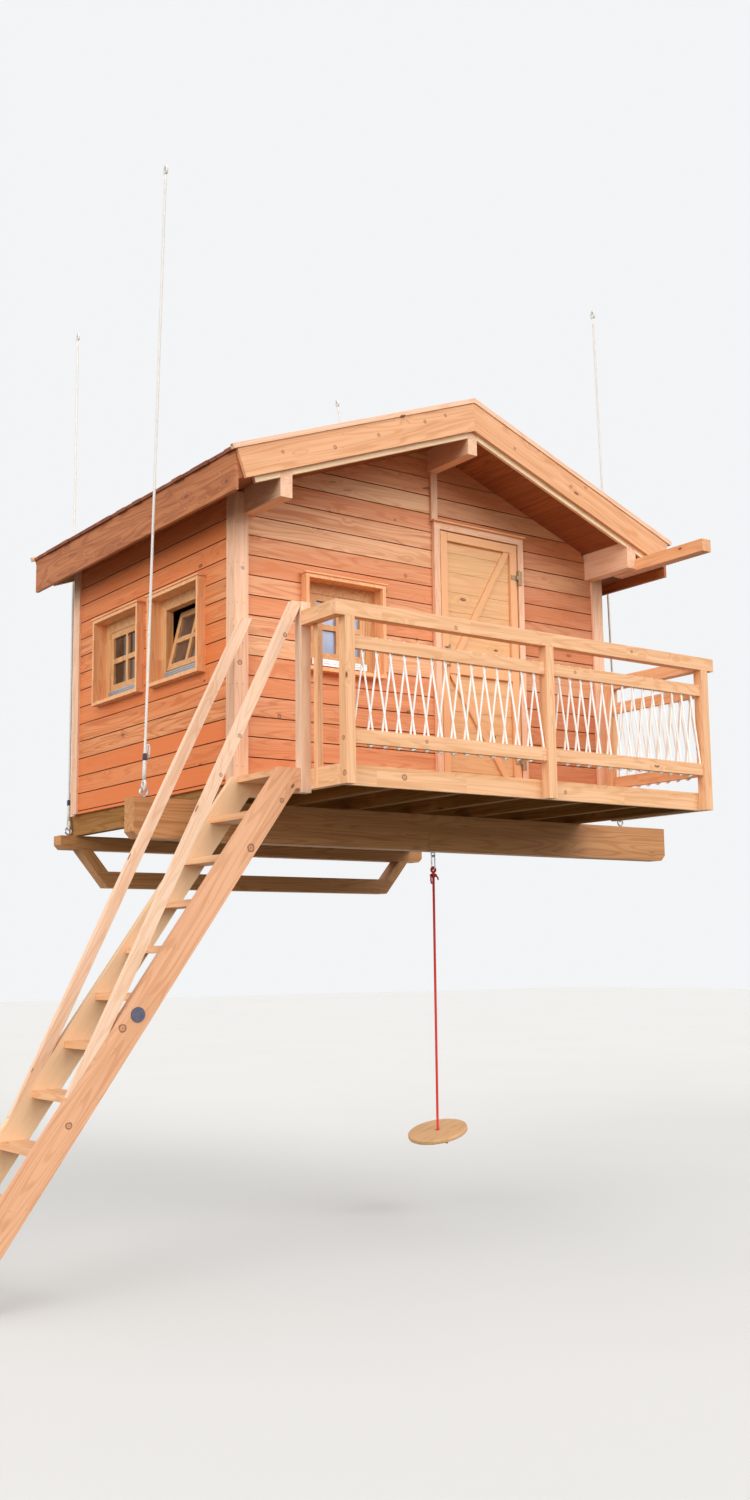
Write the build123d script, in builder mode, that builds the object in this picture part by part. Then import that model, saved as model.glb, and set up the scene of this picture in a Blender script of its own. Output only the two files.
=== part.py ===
from build123d import *
from math import asin, cos, hypot, pi, radians, sin
import os

# Tree house: a boarded cabin with a gable roof and a railed deck, standing on
# joists that lie on a hung front beam and on a frame behind the cabin.
# Millimetres, +Z up, +X to the right along the front wall, +Y from front to back.
# The origin is the middle of the back face of the back frame's top chord, where
# the house bears. House distances run right from the cabin's left face, back from
# its front face and up from the deck's top.

# Back frame
chord_height = 105
chord_thickness = 130
chord_half_length = 1745
chord_end_cut = 34
frame_gap = 163
bottom_chord_height = 125
brace_head_half = 1585
brace_width = 105
brace_run_per_drop = 0.828

# Joists and front beam
joist_height = 158
joist_width = 60
joist_count = 7
joist_inset = 25
beam_thickness = 132
beam_layer_height = 130
beam_left_overhang = 580
beam_right_overhang = 910
beam_setback = 260
beam_joint_distance = 1765
beam_joint_gap = 2
beam_end_cut = 42

# Cabin
cabin_width = 3290
cabin_depth = 2450
wall_thickness = 56
floor_thickness = 27
corner_board_width = 88
corner_board_thickness = 18
wall_roof_gap = 0.3

# Roof
roof_rise_per_run = 0.372
roof_depth = 196
plate_top = 1921
plate_drop = 171
plate_width = 90
ridge_beam_width = 82
ridge_beam_drop = 177
eave_overhang = 251
fascia_thickness = 24
fascia_drop = 72
front_overhang = 462
back_overhang = 172
barge_thickness = 26
barge_drop = 8
verge_batten_depth = 48
verge_batten_thickness = 24
shingle_depth = 24
shingle_eave_overhang = 50
verge_cap_height = 34
verge_cap_proud = 8
verge_cap_overhang = 38
verge_batten_end = 110
ridge_cap_width = 120
ridge_cap_depth = 16
side_arm_size = 90
side_arm_reach = 1120
side_arm_tail = 200
side_arm_drop = 90

# Windows
window_sill = 756
window_height = 656
side_window_width = 740
side_window_places = (395, 1285)
front_window_place = 511
front_window_width = 660
casing_board = 26
casing_proud = 62
casing_back = 98
window_frame_width = 78
window_frame_recess = 42
sash_width = 46
sash_thickness = 42
sash_gap = 0.3
sash_recess = 4
sash_tilt = 14
glazing_bar = 38
glass_thickness = 6
weather_bar_height = 44
weather_bar_depth = 16
weather_bar_drop = 4
weather_bar_groove = 5

# Door
door_from_middle = 13
door_width = 850
door_head_top = 1967
door_frame_width = 52
door_frame_proud = 30
door_gap = 8
door_floor_gap = 14
door_panel_thickness = 20
door_batten_thickness = 22
door_batten_width = 66
door_middle_rail = 896
door_recess = 6
hinge_height = 110
hinge_end_distance = 250
hinge_pin_radius = 5
hinge_knuckle_radius = 10
hinge_play = 0.3
hinge_knuckle_gap = 1.5
hinge_plate_thickness = 4
hinge_plate_width = 36
strap_length = 66
strap_width = 34
gable_trim_width = 56
gable_trim_thickness = 22
handle_height = 980
handle_length = 160
handle_reach = 46
handle_radius = 8
handle_foot_radius = 14

# Deck and railing
deck_left = 172
deck_right_overhang = 75
deck_depth = 930
deck_board_thickness = 27
deck_board_count = 7
deck_board_gap = 6
deck_wall_gap = 20
rim_height = 126
front_rim_thickness = 27
end_rim_thickness = 45
post_size = 70
middle_post_shift = 55
rail_top = 980
top_rail_height = 92
middle_rail_top = 778
middle_rail_height = 80
bottom_rail_top = 206
bottom_rail_height = 85
rail_thickness = 40
rail_right_overhang = 65
gate_post_width = 38
gate_post_depth = 45
gate_post_forward = 75
newel_top = 1040
newel_foot = 150
lacing_rope = 12
lacing_loops = 14
end_lacing_loops = 8
lacing_inset = 25
lacing_crossing = 13

# Stair
riser = 267
going = 190
riser_count = 11
tread_depth = 166
tread_thickness = 40
nosing_place = -22
housing_depth = 12
stair_width = 612
stringer_thickness = 45
stringer_above = 69
stringer_below = 220
handrail_depth = 66
near_handrail_foot = -1150
far_handrail_foot = -1245
handrail_rise_per_run = 2.04
disc_radius = 42
disc_thickness = 6
disc_distance = 976

# Hanging ropes and their eye bolts
eye_ring_radius = 26
eye_wire_radius = 7
eye_stem_height = 14
eye_stem_radius = 6
eye_washer_radius = 24
eye_washer_thickness = 5
ring_sides = 12
wire_sides = 8
knot_bands = 6
front_eye_inset = 100
back_eye_inset = 90
rope_radius = 9
rope_loop_radius = 24
splice_radius = 14
splice_length = 260
rope_end_height = 4200
front_rope_lean = 115
back_rope_lean_in = 300
back_rope_lean_back = 660
back_loop_settle = 0.7

# Swing
swing_place = 1852
swing_ring_radius = 16
swing_wire_radius = 5
swing_stem_height = 6
link_bend_radius = 18
link_length = 92
link_play = 0.5
link_bend_sides = 6
swing_rope_radius = 9
swing_loop_radius = 17
swing_knot_radius = 24
swing_knot_flat = 19
swing_seat_radius = 212
swing_seat_sides = 48
swing_seat_thickness = 30
swing_seat_edge = 6
swing_seat_hole = 15
swing_seat_height = -2365
swing_seat_tilt = 16
end_knot_radius = 30
end_knot_flat = 28.6
seat_play = 0.2

# Places that follow from the sizes above
deck_top = chord_height / 2 + joist_height + deck_board_thickness
front_face = -chord_thickness - cabin_depth
left_face = -cabin_width / 2
door_left = cabin_width / 2 - door_from_middle
door_right = door_left + door_width
deck_right = cabin_width + deck_right_overhang
slope_cut = roof_rise_per_run / (1 + roof_rise_per_run**2)


def across(distance):
    """X of a place this far to the right of the cabin's left face."""
    return left_face + distance


def back(distance):
    """Y of a place this far behind the cabin's front face."""
    return front_face + distance


def up(distance):
    """Z of a place this far above the deck's top."""
    return deck_top + distance


def box(low, high, mode=Mode.ADD):
    """A block between two corners, added to the piece being made or cut from it."""
    size = [end - start for start, end in zip(low, high)]
    middle = [(start + end) / 2 for start, end in zip(low, high)]
    with Locations(tuple(middle)):
        Box(*size, mode=mode)


def save(part, name):
    """Labels the finished piece and writes its file."""
    part.label = name
    export_step(part, f"parts/{name}.step")


def bent_wire(points, wire):
    """Flat-sided wire along a closed line; its first point is in a straight run."""
    first = Vector(*points[0])
    with BuildPart() as run:
        with BuildLine() as path:
            Polyline(*points, close=True)
        with BuildSketch(Plane(origin=first, z_dir=Vector(*points[1]) - first)):
            RegularPolygon(wire, wire_sides, rotation=180 / wire_sides)
        sweep(path=path.wires()[0], transition=Transition.RIGHT)
    return run.part


def ring(radius, wire):
    """A closed ring of wire round Z, bent in straight runs."""
    corner = radius / cos(pi / ring_sides)
    points = [(radius, 0, 0)]
    for index in range(ring_sides):
        angle = (2 * index + 1) * pi / ring_sides
        points.append((corner * cos(angle), corner * sin(angle), 0))
    return bent_wire(points, wire)


def knot(radius, flat):
    """A ball of flat faces, cut level at a height of flat over its middle."""
    angle = asin(flat / radius)
    with BuildPart() as ball:
        for band in range(knot_bands + 1):
            turn = angle - 2 * angle * band / knot_bands
            with BuildSketch(Plane.XY.offset(radius * sin(turn))):
                RegularPolygon(radius * cos(turn), ring_sides)
        loft(ruled=True)
    return ball.part


def roof_underside(x):
    """Z of the roof's underside at x: it falls evenly from the centre line."""
    return up(plate_top) + (cabin_width / 2 - wall_thickness - abs(x)) * roof_rise_per_run


joist_top = up(-deck_board_thickness)
joist_bottom = joist_top - joist_height
beam_top = up(-rim_height)
beam_front = back(beam_setback)
beam_back = beam_front + beam_thickness
beam_middle = (beam_front + beam_back) / 2
beam_bottom = beam_top - 2 * beam_layer_height
rail_bottom = up(rail_top - top_rail_height)

os.makedirs("parts", exist_ok=True)

# Back frame: a top chord, a bottom chord and two braces that lean in
chord_top = chord_height / 2
chord_bottom = -chord_height / 2
with BuildPart() as frame_top_chord:
    with BuildSketch(Plane.XZ):
        with BuildLine():
            Polyline(
                (-chord_half_length, chord_top),
                (chord_half_length, chord_top),
                (chord_half_length, chord_bottom + chord_end_cut),
                (chord_half_length - chord_end_cut, chord_bottom),
                (-chord_half_length + chord_end_cut, chord_bottom),
                (-chord_half_length, chord_bottom + chord_end_cut),
                close=True,
            )
        make_face()
    extrude(amount=chord_thickness)
save(frame_top_chord.part, "frame_top_chord")

bottom_chord_top = chord_bottom - frame_gap
bottom_chord_bottom = bottom_chord_top - bottom_chord_height
brace_foot_half = brace_head_half - frame_gap * brace_run_per_drop
bottom_half = brace_foot_half - bottom_chord_height * brace_run_per_drop
with BuildPart() as frame_bottom_chord:
    with BuildSketch(Plane.XZ):
        with BuildLine():
            Polyline(
                (-brace_foot_half, bottom_chord_top),
                (brace_foot_half, bottom_chord_top),
                (bottom_half, bottom_chord_bottom),
                (-bottom_half, bottom_chord_bottom),
                close=True,
            )
        make_face()
    extrude(amount=chord_thickness)
save(frame_bottom_chord.part, "frame_bottom_chord")

with BuildPart() as frame_braces:
    with BuildSketch(Plane.XZ):
        with BuildLine():
            Polyline(
                (brace_head_half, chord_bottom),
                (brace_foot_half, bottom_chord_top),
                (brace_foot_half - brace_width, bottom_chord_top),
                (brace_head_half - brace_width, chord_bottom),
                close=True,
            )
        make_face()
        mirror(about=Plane.YZ)
    extrude(amount=chord_thickness)
save(frame_braces.part, "frame_braces")

# Joists: deep behind the front beam, cut down where they cross it and the deck
joist_step = (cabin_width - 2 * joist_inset - joist_width) / (joist_count - 1)
with BuildPart() as floor_joists:
    for index in range(joist_count):
        joist_left = across(joist_inset + index * joist_step)
        front_end = back(0) if index == 0 else back(-deck_depth + front_rim_thickness)
        with BuildSketch(Plane.YZ.offset(joist_left)):
            with BuildLine():
                Polyline(
                    (0, joist_top),
                    (0, joist_bottom),
                    (beam_back, joist_bottom),
                    (beam_back, beam_top),
                    (front_end, beam_top),
                    (front_end, joist_top),
                    close=True,
                )
            make_face()
        extrude(amount=joist_width)
save(floor_joists.part, "floor_joists")

# Front beam: two timbers high, the lower one in two lengths with cut ends
beam_left = across(-beam_left_overhang)
beam_right = across(cabin_width + beam_right_overhang)
beam_split = beam_top - beam_layer_height
with BuildPart() as front_beam_top:
    box((beam_left, beam_front, beam_split), (beam_right, beam_back, beam_top))
save(front_beam_top.part, "front_beam_top")

with BuildPart() as front_beam_bottom:
    joint = across(beam_joint_distance)
    with BuildSketch(Plane.XZ.offset(-beam_back)):
        with BuildLine():
            Polyline(
                (beam_left, beam_split),
                (joint - beam_joint_gap / 2, beam_split),
                (joint - beam_joint_gap / 2, beam_bottom),
                (beam_left + beam_end_cut, beam_bottom),
                (beam_left, beam_bottom + beam_end_cut),
                close=True,
            )
        make_face()
        with BuildLine():
            Polyline(
                (beam_right, beam_split),
                (joint + beam_joint_gap / 2, beam_split),
                (joint + beam_joint_gap / 2, beam_bottom),
                (beam_right - beam_end_cut, beam_bottom),
                (beam_right, beam_bottom + beam_end_cut),
                close=True,
            )
        make_face()
    extrude(amount=beam_thickness)
save(front_beam_bottom.part, "front_beam_bottom")

# Deck: rim boards round three sides, the left one notched for the gate post
newel_right = across(deck_left)
newel_left = newel_right - post_size
stringer_front = back(-stair_width)
newel_front = stringer_front - (post_size - stringer_thickness) / 2
gate_post_front = newel_front - gate_post_forward
gate_post = (
    (newel_right, gate_post_front, up(-rim_height)),
    (newel_right + gate_post_width, gate_post_front + gate_post_depth, up(rail_top)),
)
with BuildPart() as deck_rim:
    box(
        (across(deck_left + end_rim_thickness), back(-deck_depth), up(-rim_height)),
        (across(deck_right - end_rim_thickness), back(-deck_depth + front_rim_thickness), joist_top),
    )
    for edge in (deck_left, deck_right - end_rim_thickness):
        box(
            (across(edge), back(-deck_depth), up(-rim_height)),
            (across(edge + end_rim_thickness), back(-deck_wall_gap), up(0)),
        )
    box(*gate_post, Mode.SUBTRACT)
save(deck_rim.part, "deck_rim")

board_step = (deck_depth - deck_wall_gap + deck_board_gap) / deck_board_count
with BuildPart() as deck_boards:
    for index in range(deck_board_count):
        board_front = back(-deck_depth + index * board_step)
        box(
            (across(deck_left + end_rim_thickness), board_front, joist_top),
            (across(deck_right - end_rim_thickness), board_front + board_step - deck_board_gap, up(0)),
        )
save(deck_boards.part, "deck_boards")

with BuildPart() as cabin_floor:
    box(
        (across(wall_thickness), back(wall_thickness), joist_top),
        (
            across(cabin_width - wall_thickness),
            back(cabin_depth - wall_thickness),
            joist_top + floor_thickness,
        ),
    )
save(cabin_floor.part, "cabin_floor")


# Side walls, between the front and back walls, their tops cut to the roof
def side_wall(side):
    """Left wall for side -1, right wall for side 1, with its two window holes."""
    outer = cabin_width / 2
    inner = outer - wall_thickness
    with BuildPart() as wall:
        with BuildSketch(Plane.XZ.offset(-back(cabin_depth - wall_thickness))):
            with BuildLine():
                Polyline(
                    (side * outer, joist_top),
                    (side * outer, roof_underside(outer) - wall_roof_gap),
                    (side * inner, roof_underside(inner) - wall_roof_gap),
                    (side * inner, joist_top),
                    close=True,
                )
            make_face()
        extrude(amount=cabin_depth - 2 * wall_thickness)
        for place in side_window_places:
            box(
                (side * (inner + outer) / 2 - wall_thickness, back(place), up(window_sill)),
                (
                    side * (inner + outer) / 2 + wall_thickness,
                    back(place + side_window_width),
                    up(window_sill + window_height),
                ),
                Mode.SUBTRACT,
            )
    return wall.part


save(side_wall(-1), "left_wall")
save(side_wall(1), "right_wall")

plate_inner = cabin_width / 2 - wall_thickness - plate_width


def beam_slots():
    """Cuts the slots where the ridge beam and the two wall plates pass."""
    length = 2 * wall_thickness + cabin_depth
    ridge_low = roof_underside(0) - ridge_beam_drop
    for y in (back(wall_thickness / 2), back(cabin_depth - wall_thickness / 2)):
        with Locations((0, y, ridge_low + roof_depth / 2)):
            Box(ridge_beam_width, 2 * wall_thickness, roof_depth, mode=Mode.SUBTRACT)
        for side in (-1, 1):
            middle = side * (plate_inner + plate_width / 2)
            with Locations((middle, y, up(plate_top - plate_drop) + length / 2)):
                Box(plate_width, 2 * wall_thickness, length, mode=Mode.SUBTRACT)


def gable_wall(points, back_y, hole=None):
    """A piece of a gable wall: its outline in X and Z, its back face at back_y."""
    with BuildPart() as wall:
        with BuildSketch(Plane.XZ.offset(-back_y)):
            with BuildLine():
                Polyline(*points, close=True)
            make_face()
        extrude(amount=wall_thickness)
        beam_slots()
        if hole:
            box(*hole, Mode.SUBTRACT)
    return wall.part


def gable_top(x):
    """A point of a gable wall's top edge."""
    return (x, roof_underside(x) - wall_roof_gap)


front_back_y = back(wall_thickness)
front_wall_left = gable_wall(
    [
        (left_face, joist_top),
        gable_top(left_face),
        gable_top(across(door_left)),
        (across(door_left), joist_top),
    ],
    front_back_y,
    (
        (across(front_window_place), back(-wall_thickness), up(window_sill)),
        (
            across(front_window_place + front_window_width),
            back(2 * wall_thickness),
            up(window_sill + window_height),
        ),
    ),
)
save(front_wall_left, "front_wall_left")

front_wall_right = gable_wall(
    [
        (-left_face, joist_top),
        gable_top(-left_face),
        gable_top(across(door_right)),
        (across(door_right), joist_top),
    ],
    front_back_y,
)
save(front_wall_right, "front_wall_right")

front_wall_over_door = gable_wall(
    [
        (across(door_left), up(door_head_top)),
        gable_top(across(door_left)),
        gable_top(0),
        gable_top(across(door_right)),
        (across(door_right), up(door_head_top)),
    ],
    front_back_y,
)
save(front_wall_over_door, "front_wall_over_door")

back_wall = gable_wall(
    [
        (left_face, joist_top),
        gable_top(left_face),
        gable_top(0),
        gable_top(-left_face),
        (-left_face, joist_top),
    ],
    back(cabin_depth),
)
save(back_wall, "back_wall")

# Corner boards: an angle of two boards outside each corner
with BuildPart() as corner_boards:
    for side in (-1, 1):
        for y, inward in ((back(0), 1), (back(cabin_depth), -1)):
            x = side * cabin_width / 2
            top = roof_underside(cabin_width / 2 + corner_board_thickness) - wall_roof_gap
            with BuildSketch(Plane.XY.offset(joist_top)):
                with BuildLine():
                    Polyline(
                        (x, y),
                        (x - side * corner_board_width, y),
                        (x - side * corner_board_width, y - inward * corner_board_thickness),
                        (x + side * corner_board_thickness, y - inward * corner_board_thickness),
                        (x + side * corner_board_thickness, y + inward * corner_board_width),
                        (x, y + inward * corner_board_width),
                        close=True,
                    )
                make_face()
            extrude(amount=top - joist_top)
        plate_middle = side * (plate_inner + plate_width / 2)
        box(
            (plate_middle - plate_width / 2, back(-front_overhang), up(plate_top - plate_drop)),
            (plate_middle + plate_width / 2, back(cabin_depth + back_overhang), up(plate_top + plate_drop)),
            Mode.SUBTRACT,
        )
save(corner_boards.part, "corner_boards")

# Gable trim: an upright board from the door frame's head to the ridge beam
with BuildPart() as gable_trim:
    box(
        (-gable_trim_width / 2, back(-gable_trim_thickness), up(door_head_top)),
        (gable_trim_width / 2, back(0), roof_underside(0) - ridge_beam_drop),
    )
save(gable_trim.part, "gable_trim")

# Roof beams: the ridge beam and the two wall plates, their tops cut to the slope
roof_front = back(-front_overhang)
roof_back = back(cabin_depth + back_overhang)
roof_length = roof_back - roof_front
with BuildPart() as roof_beams:
    with BuildSketch(Plane.XZ.offset(-roof_back)):
        ridge_half = ridge_beam_width / 2
        ridge_low = roof_underside(0) - ridge_beam_drop
        with BuildLine():
            Polyline(
                (-ridge_half, ridge_low),
                (-ridge_half, roof_underside(ridge_half)),
                (0, roof_underside(0)),
                (ridge_half, roof_underside(ridge_half)),
                (ridge_half, ridge_low),
                close=True,
            )
        make_face()
        for side in (-1, 1):
            with BuildLine():
                Polyline(
                    (side * plate_inner, up(plate_top - plate_drop)),
                    (side * plate_inner, roof_underside(plate_inner)),
                    (side * (plate_inner + plate_width), roof_underside(plate_inner + plate_width)),
                    (side * (plate_inner + plate_width), up(plate_top - plate_drop)),
                    close=True,
                )
            make_face()
    extrude(amount=roof_length)
save(roof_beams.part, "roof_beams")

# Side arm: a timber fixed outside the right wall plate, reaching forward
with BuildPart() as side_arm:
    arm_left = plate_inner + plate_width
    arm_top = up(plate_top - side_arm_drop)
    box(
        (arm_left, back(-side_arm_reach), arm_top - side_arm_size),
        (arm_left + side_arm_size, back(-barge_thickness - side_arm_tail), arm_top),
    )
save(side_arm.part, "side_arm")


def roof_band(low, high, outer_x, near_y, far_y, square=False):
    """A band over both slopes, between two heights over the roof's underside."""
    low_x = outer_x - (high - low) * slope_cut if square else outer_x
    with BuildPart() as band:
        with BuildSketch(Plane.XZ.offset(-far_y)):
            with BuildLine():
                Polyline(
                    (-low_x, roof_underside(low_x) + low),
                    (0, roof_underside(0) + low),
                    (low_x, roof_underside(low_x) + low),
                    (outer_x, roof_underside(outer_x) + high),
                    (0, roof_underside(0) + high),
                    (-outer_x, roof_underside(outer_x) + high),
                    close=True,
                )
            make_face()
        extrude(amount=far_y - near_y)
    return band.part


eave_x = cabin_width / 2 + eave_overhang
shingle_top = roof_depth + shingle_depth
save(roof_band(0, roof_depth, eave_x, roof_front, roof_back), "roof_slopes")
shingles = roof_band(
    roof_depth,
    shingle_top,
    eave_x + shingle_eave_overhang,
    roof_front,
    roof_back,
)
save(shingles, "shingles")
ridge_cap = roof_band(
    shingle_top,
    shingle_top + ridge_cap_depth,
    ridge_cap_width,
    roof_front,
    roof_back,
)
save(ridge_cap, "ridge_cap")

# Fascia boards along the eaves and barge boards along the gable ends
with BuildPart() as fascia_boards:
    with BuildSketch(Plane.XZ.offset(-roof_back)):
        for side in (-1, 1):
            with BuildLine():
                outer = eave_x + fascia_thickness
                Polyline(
                    (side * eave_x, roof_underside(eave_x) - fascia_drop),
                    (side * outer, roof_underside(eave_x) - fascia_drop),
                    (side * outer, roof_underside(outer) + roof_depth),
                    (side * eave_x, roof_underside(eave_x) + roof_depth),
                    close=True,
                )
            make_face()
    extrude(amount=roof_length)
save(fascia_boards.part, "fascia_boards")

barge_end = eave_x + fascia_thickness

with BuildPart() as barge_boards:
    for front in (roof_front - barge_thickness, roof_back):
        board = roof_band(-barge_drop, roof_depth, barge_end, front, front + barge_thickness, True)
        add(board)
save(barge_boards.part, "barge_boards")

# Verge caps: strips on the barge boards' top edges, the shingles end between them
cap_top = roof_depth + verge_cap_height
cap_end = barge_end + verge_cap_overhang
with BuildPart() as verge_caps:
    for near_y, far_y in (
        (roof_front - barge_thickness - verge_cap_proud, roof_front),
        (roof_back, roof_back + barge_thickness + verge_cap_proud),
    ):
        add(roof_band(roof_depth, cap_top, cap_end, near_y, far_y, True))
save(verge_caps.part, "verge_caps")

# Verge battens: pale strips under the roof's edge, cut round the beams' ends
batten_end = eave_x - verge_batten_end
with BuildPart() as verge_battens:
    for front in (roof_front, roof_back - verge_batten_thickness):
        batten_back = front + verge_batten_thickness
        add(roof_band(-verge_batten_depth, 0, batten_end, front, batten_back, True))
    box(
        (-ridge_beam_width / 2, roof_front, up(plate_top)),
        (ridge_beam_width / 2, roof_back, roof_underside(0)),
        Mode.SUBTRACT,
    )
    for side in (-1, 1):
        middle = side * (plate_inner + plate_width / 2)
        box(
            (middle - plate_width / 2, roof_front, up(plate_top - plate_drop)),
            (middle + plate_width / 2, roof_back, roof_underside(0)),
            Mode.SUBTRACT,
        )
save(verge_battens.part, "verge_battens")

# Windows: each is drawn at its own plane, X along the wall, Z outwards
window_planes = []
for place in side_window_places:
    middle = place + side_window_width / 2
    for side in (-1, 1):
        window_planes.append(
            (
                Plane(
                    origin=(side * cabin_width / 2, back(middle), up(window_sill + window_height / 2)),
                    x_dir=(0, side, 0),
                    z_dir=(side, 0, 0),
                ),
                side_window_width,
                place == side_window_places[0] and side == -1,
            )
        )
window_planes.append(
    (
        Plane(
            origin=(
                across(front_window_place + front_window_width / 2),
                back(0),
                up(window_sill + window_height / 2),
            ),
            x_dir=(1, 0, 0),
            z_dir=(0, -1, 0),
        ),
        front_window_width,
        False,
    )
)

with BuildPart() as window_casings:
    for plane, width, tilted in window_planes:
        with BuildSketch(plane.offset(-casing_back)):
            Rectangle(width, window_height)
            Rectangle(width - 2 * casing_board, window_height - 2 * casing_board, mode=Mode.SUBTRACT)
        extrude(amount=casing_back + casing_proud)
save(window_casings.part, "window_casings")

frame_margin = casing_board + window_frame_width
frame_open_height = window_height - 2 * frame_margin
with BuildPart() as window_frames:
    for plane, width, tilted in window_planes:
        inset = 2 * (casing_board + sash_gap)
        with BuildSketch(plane.offset(-casing_back)):
            Rectangle(width - inset, window_height - inset)
            Rectangle(width - 2 * frame_margin, frame_open_height, mode=Mode.SUBTRACT)
        extrude(amount=casing_back - window_frame_recess)
save(window_frames.part, "window_frames")


def sash_plane(plane, tilted):
    """The back plane of a sash, leaning in at the top where it stands open."""
    back_plane = plane.offset(-window_frame_recess - sash_recess - sash_thickness)
    if not tilted:
        return back_plane
    foot = sash_gap - frame_open_height / 2
    lean = radians(sash_tilt)
    outward = plane.z_dir * cos(lean) + plane.y_dir * sin(lean)
    turned = Plane(
        origin=back_plane.from_local_coords((0, foot, 0)),
        x_dir=plane.x_dir,
        z_dir=outward,
    )
    return Plane(
        origin=turned.from_local_coords((0, -foot, 0)),
        x_dir=plane.x_dir,
        z_dir=outward,
    )


sash_height = frame_open_height - 2 * sash_gap
pane_height = (sash_height - 2 * sash_width - glazing_bar) / 2
with BuildPart() as window_sashes:
    for plane, width, tilted in window_planes:
        sash_outer = width - 2 * frame_margin - 2 * sash_gap
        pane_width = (sash_outer - 2 * sash_width - glazing_bar) / 2
        with BuildSketch(sash_plane(plane, tilted)):
            Rectangle(sash_outer, sash_height)
            with GridLocations(pane_width + glazing_bar, pane_height + glazing_bar, 2, 2):
                Rectangle(pane_width, pane_height, mode=Mode.SUBTRACT)
        extrude(amount=sash_thickness)
save(window_sashes.part, "window_sashes")

with BuildPart() as window_panes:
    for plane, width, tilted in window_planes:
        sash_outer = width - 2 * frame_margin - 2 * sash_gap
        pane_width = (sash_outer - 2 * sash_width - glazing_bar) / 2
        glass_back = sash_plane(plane, tilted).offset((sash_thickness - glass_thickness) / 2)
        with BuildSketch(glass_back):
            with GridLocations(pane_width + glazing_bar, pane_height + glazing_bar, 2, 2):
                Rectangle(pane_width, pane_height)
        extrude(amount=glass_thickness)
save(window_panes.part, "window_panes")

# Weather bars: ribbed strips across the foot of each window frame
weather_bar_middle = -(frame_open_height + weather_bar_height) / 2 - weather_bar_drop
with BuildPart() as weather_bars:
    for plane, width, tilted in window_planes:
        with BuildSketch(plane.offset(-window_frame_recess)):
            with Locations((0, weather_bar_middle)):
                Rectangle(width - 2 * frame_margin, weather_bar_height)
        extrude(amount=weather_bar_depth)
        with BuildSketch(plane.offset(weather_bar_depth - window_frame_recess)):
            with Locations((0, weather_bar_middle)):
                with GridLocations(0, weather_bar_height / 3, 1, 2):
                    Rectangle(width - 2 * frame_margin, weather_bar_groove)
        extrude(amount=-weather_bar_groove, mode=Mode.SUBTRACT)
save(weather_bars.part, "weather_bars")

# Door frame: two jambs, a head and a threshold, the frame a little proud of the wall
jamb_top = up(door_head_top - door_frame_width)
with BuildPart() as door_frame:
    for edge in (door_left, door_right - door_frame_width):
        box(
            (across(edge), back(-door_frame_proud), up(0)),
            (across(edge + door_frame_width), back(wall_thickness), jamb_top),
        )
    box(
        (across(door_left), back(-deck_wall_gap), joist_top),
        (across(door_right), back(wall_thickness), up(0)),
    )
    box(
        (across(door_left), back(-door_frame_proud), jamb_top),
        (across(door_right), back(wall_thickness), up(door_head_top)),
    )
save(door_frame.part, "door_frame")

# Door leaf: a boarded panel with raised stiles, rails and two slanted braces
leaf_left = across(door_left + door_frame_width + door_gap)
leaf_right = across(door_right - door_frame_width - door_gap)
leaf_bottom = up(door_floor_gap)
leaf_top = jamb_top - door_gap
leaf_front = back(-door_frame_proud + door_recess)
leaf_back = leaf_front + door_batten_thickness + door_panel_thickness
rail_middle = up(door_middle_rail)
with BuildPart() as door_leaf:
    box(
        (leaf_left, leaf_back - door_panel_thickness, leaf_bottom),
        (leaf_right, leaf_back, leaf_top),
    )
    inner_left = leaf_left + door_batten_width
    inner_right = leaf_right - door_batten_width
    with BuildSketch(Plane.XZ.offset(-leaf_front - door_batten_thickness)):
        with Locations(((leaf_left + leaf_right) / 2, (leaf_bottom + leaf_top) / 2)):
            Rectangle(leaf_right - leaf_left, leaf_top - leaf_bottom)
        for low, high in (
            (leaf_bottom + door_batten_width, rail_middle - door_batten_width / 2),
            (rail_middle + door_batten_width / 2, leaf_top - door_batten_width),
        ):
            with Locations(((inner_left + inner_right) / 2, (low + high) / 2)):
                Rectangle(inner_right - inner_left, high - low, mode=Mode.SUBTRACT)
        for far_z, near_z in (
            (leaf_top - door_batten_width, rail_middle + door_batten_width / 2),
            (leaf_bottom + door_batten_width, rail_middle - door_batten_width / 2),
        ):
            with BuildLine():
                Polyline(
                    (inner_right, far_z),
                    (inner_right - door_batten_width, far_z),
                    (inner_left, near_z),
                    (inner_left + door_batten_width, near_z),
                    close=True,
                )
            make_face()
    extrude(amount=door_batten_thickness)
save(door_leaf.part, "door_leaf")

# Hinges: a plate and pin on the right jamb, a short strap on the leaf
hinge_x = leaf_right + door_gap / 2
hinge_y = back(-door_frame_proud) - hinge_knuckle_radius
hinge_places = (leaf_bottom + hinge_end_distance, leaf_top - hinge_end_distance)
knuckle_height = hinge_height / 3
knuckle_clear = hinge_knuckle_radius + hinge_knuckle_gap
jamb_front = back(-door_frame_proud)
plate_front = jamb_front - hinge_plate_thickness
with BuildPart() as door_hinge_pins:
    for place in hinge_places:
        box(
            (hinge_x + knuckle_clear, plate_front, place - hinge_height / 2),
            (hinge_x + hinge_plate_width, jamb_front, place + hinge_height / 2),
        )
        with BuildSketch(Plane.XY.offset(place - hinge_height / 2)):
            with Locations((hinge_x, hinge_y)):
                Circle(hinge_pin_radius)
        extrude(amount=hinge_height)
        for low in (place - hinge_height / 2, place + knuckle_height / 2):
            with BuildSketch(Plane.XY.offset(low)):
                with Locations((hinge_x, hinge_y)):
                    Circle(hinge_knuckle_radius)
            extrude(amount=knuckle_height)
            box(
                (hinge_x, plate_front, low),
                (hinge_x + knuckle_clear, jamb_front, low + knuckle_height),
            )
save(door_hinge_pins.part, "door_hinge_pins")

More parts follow.
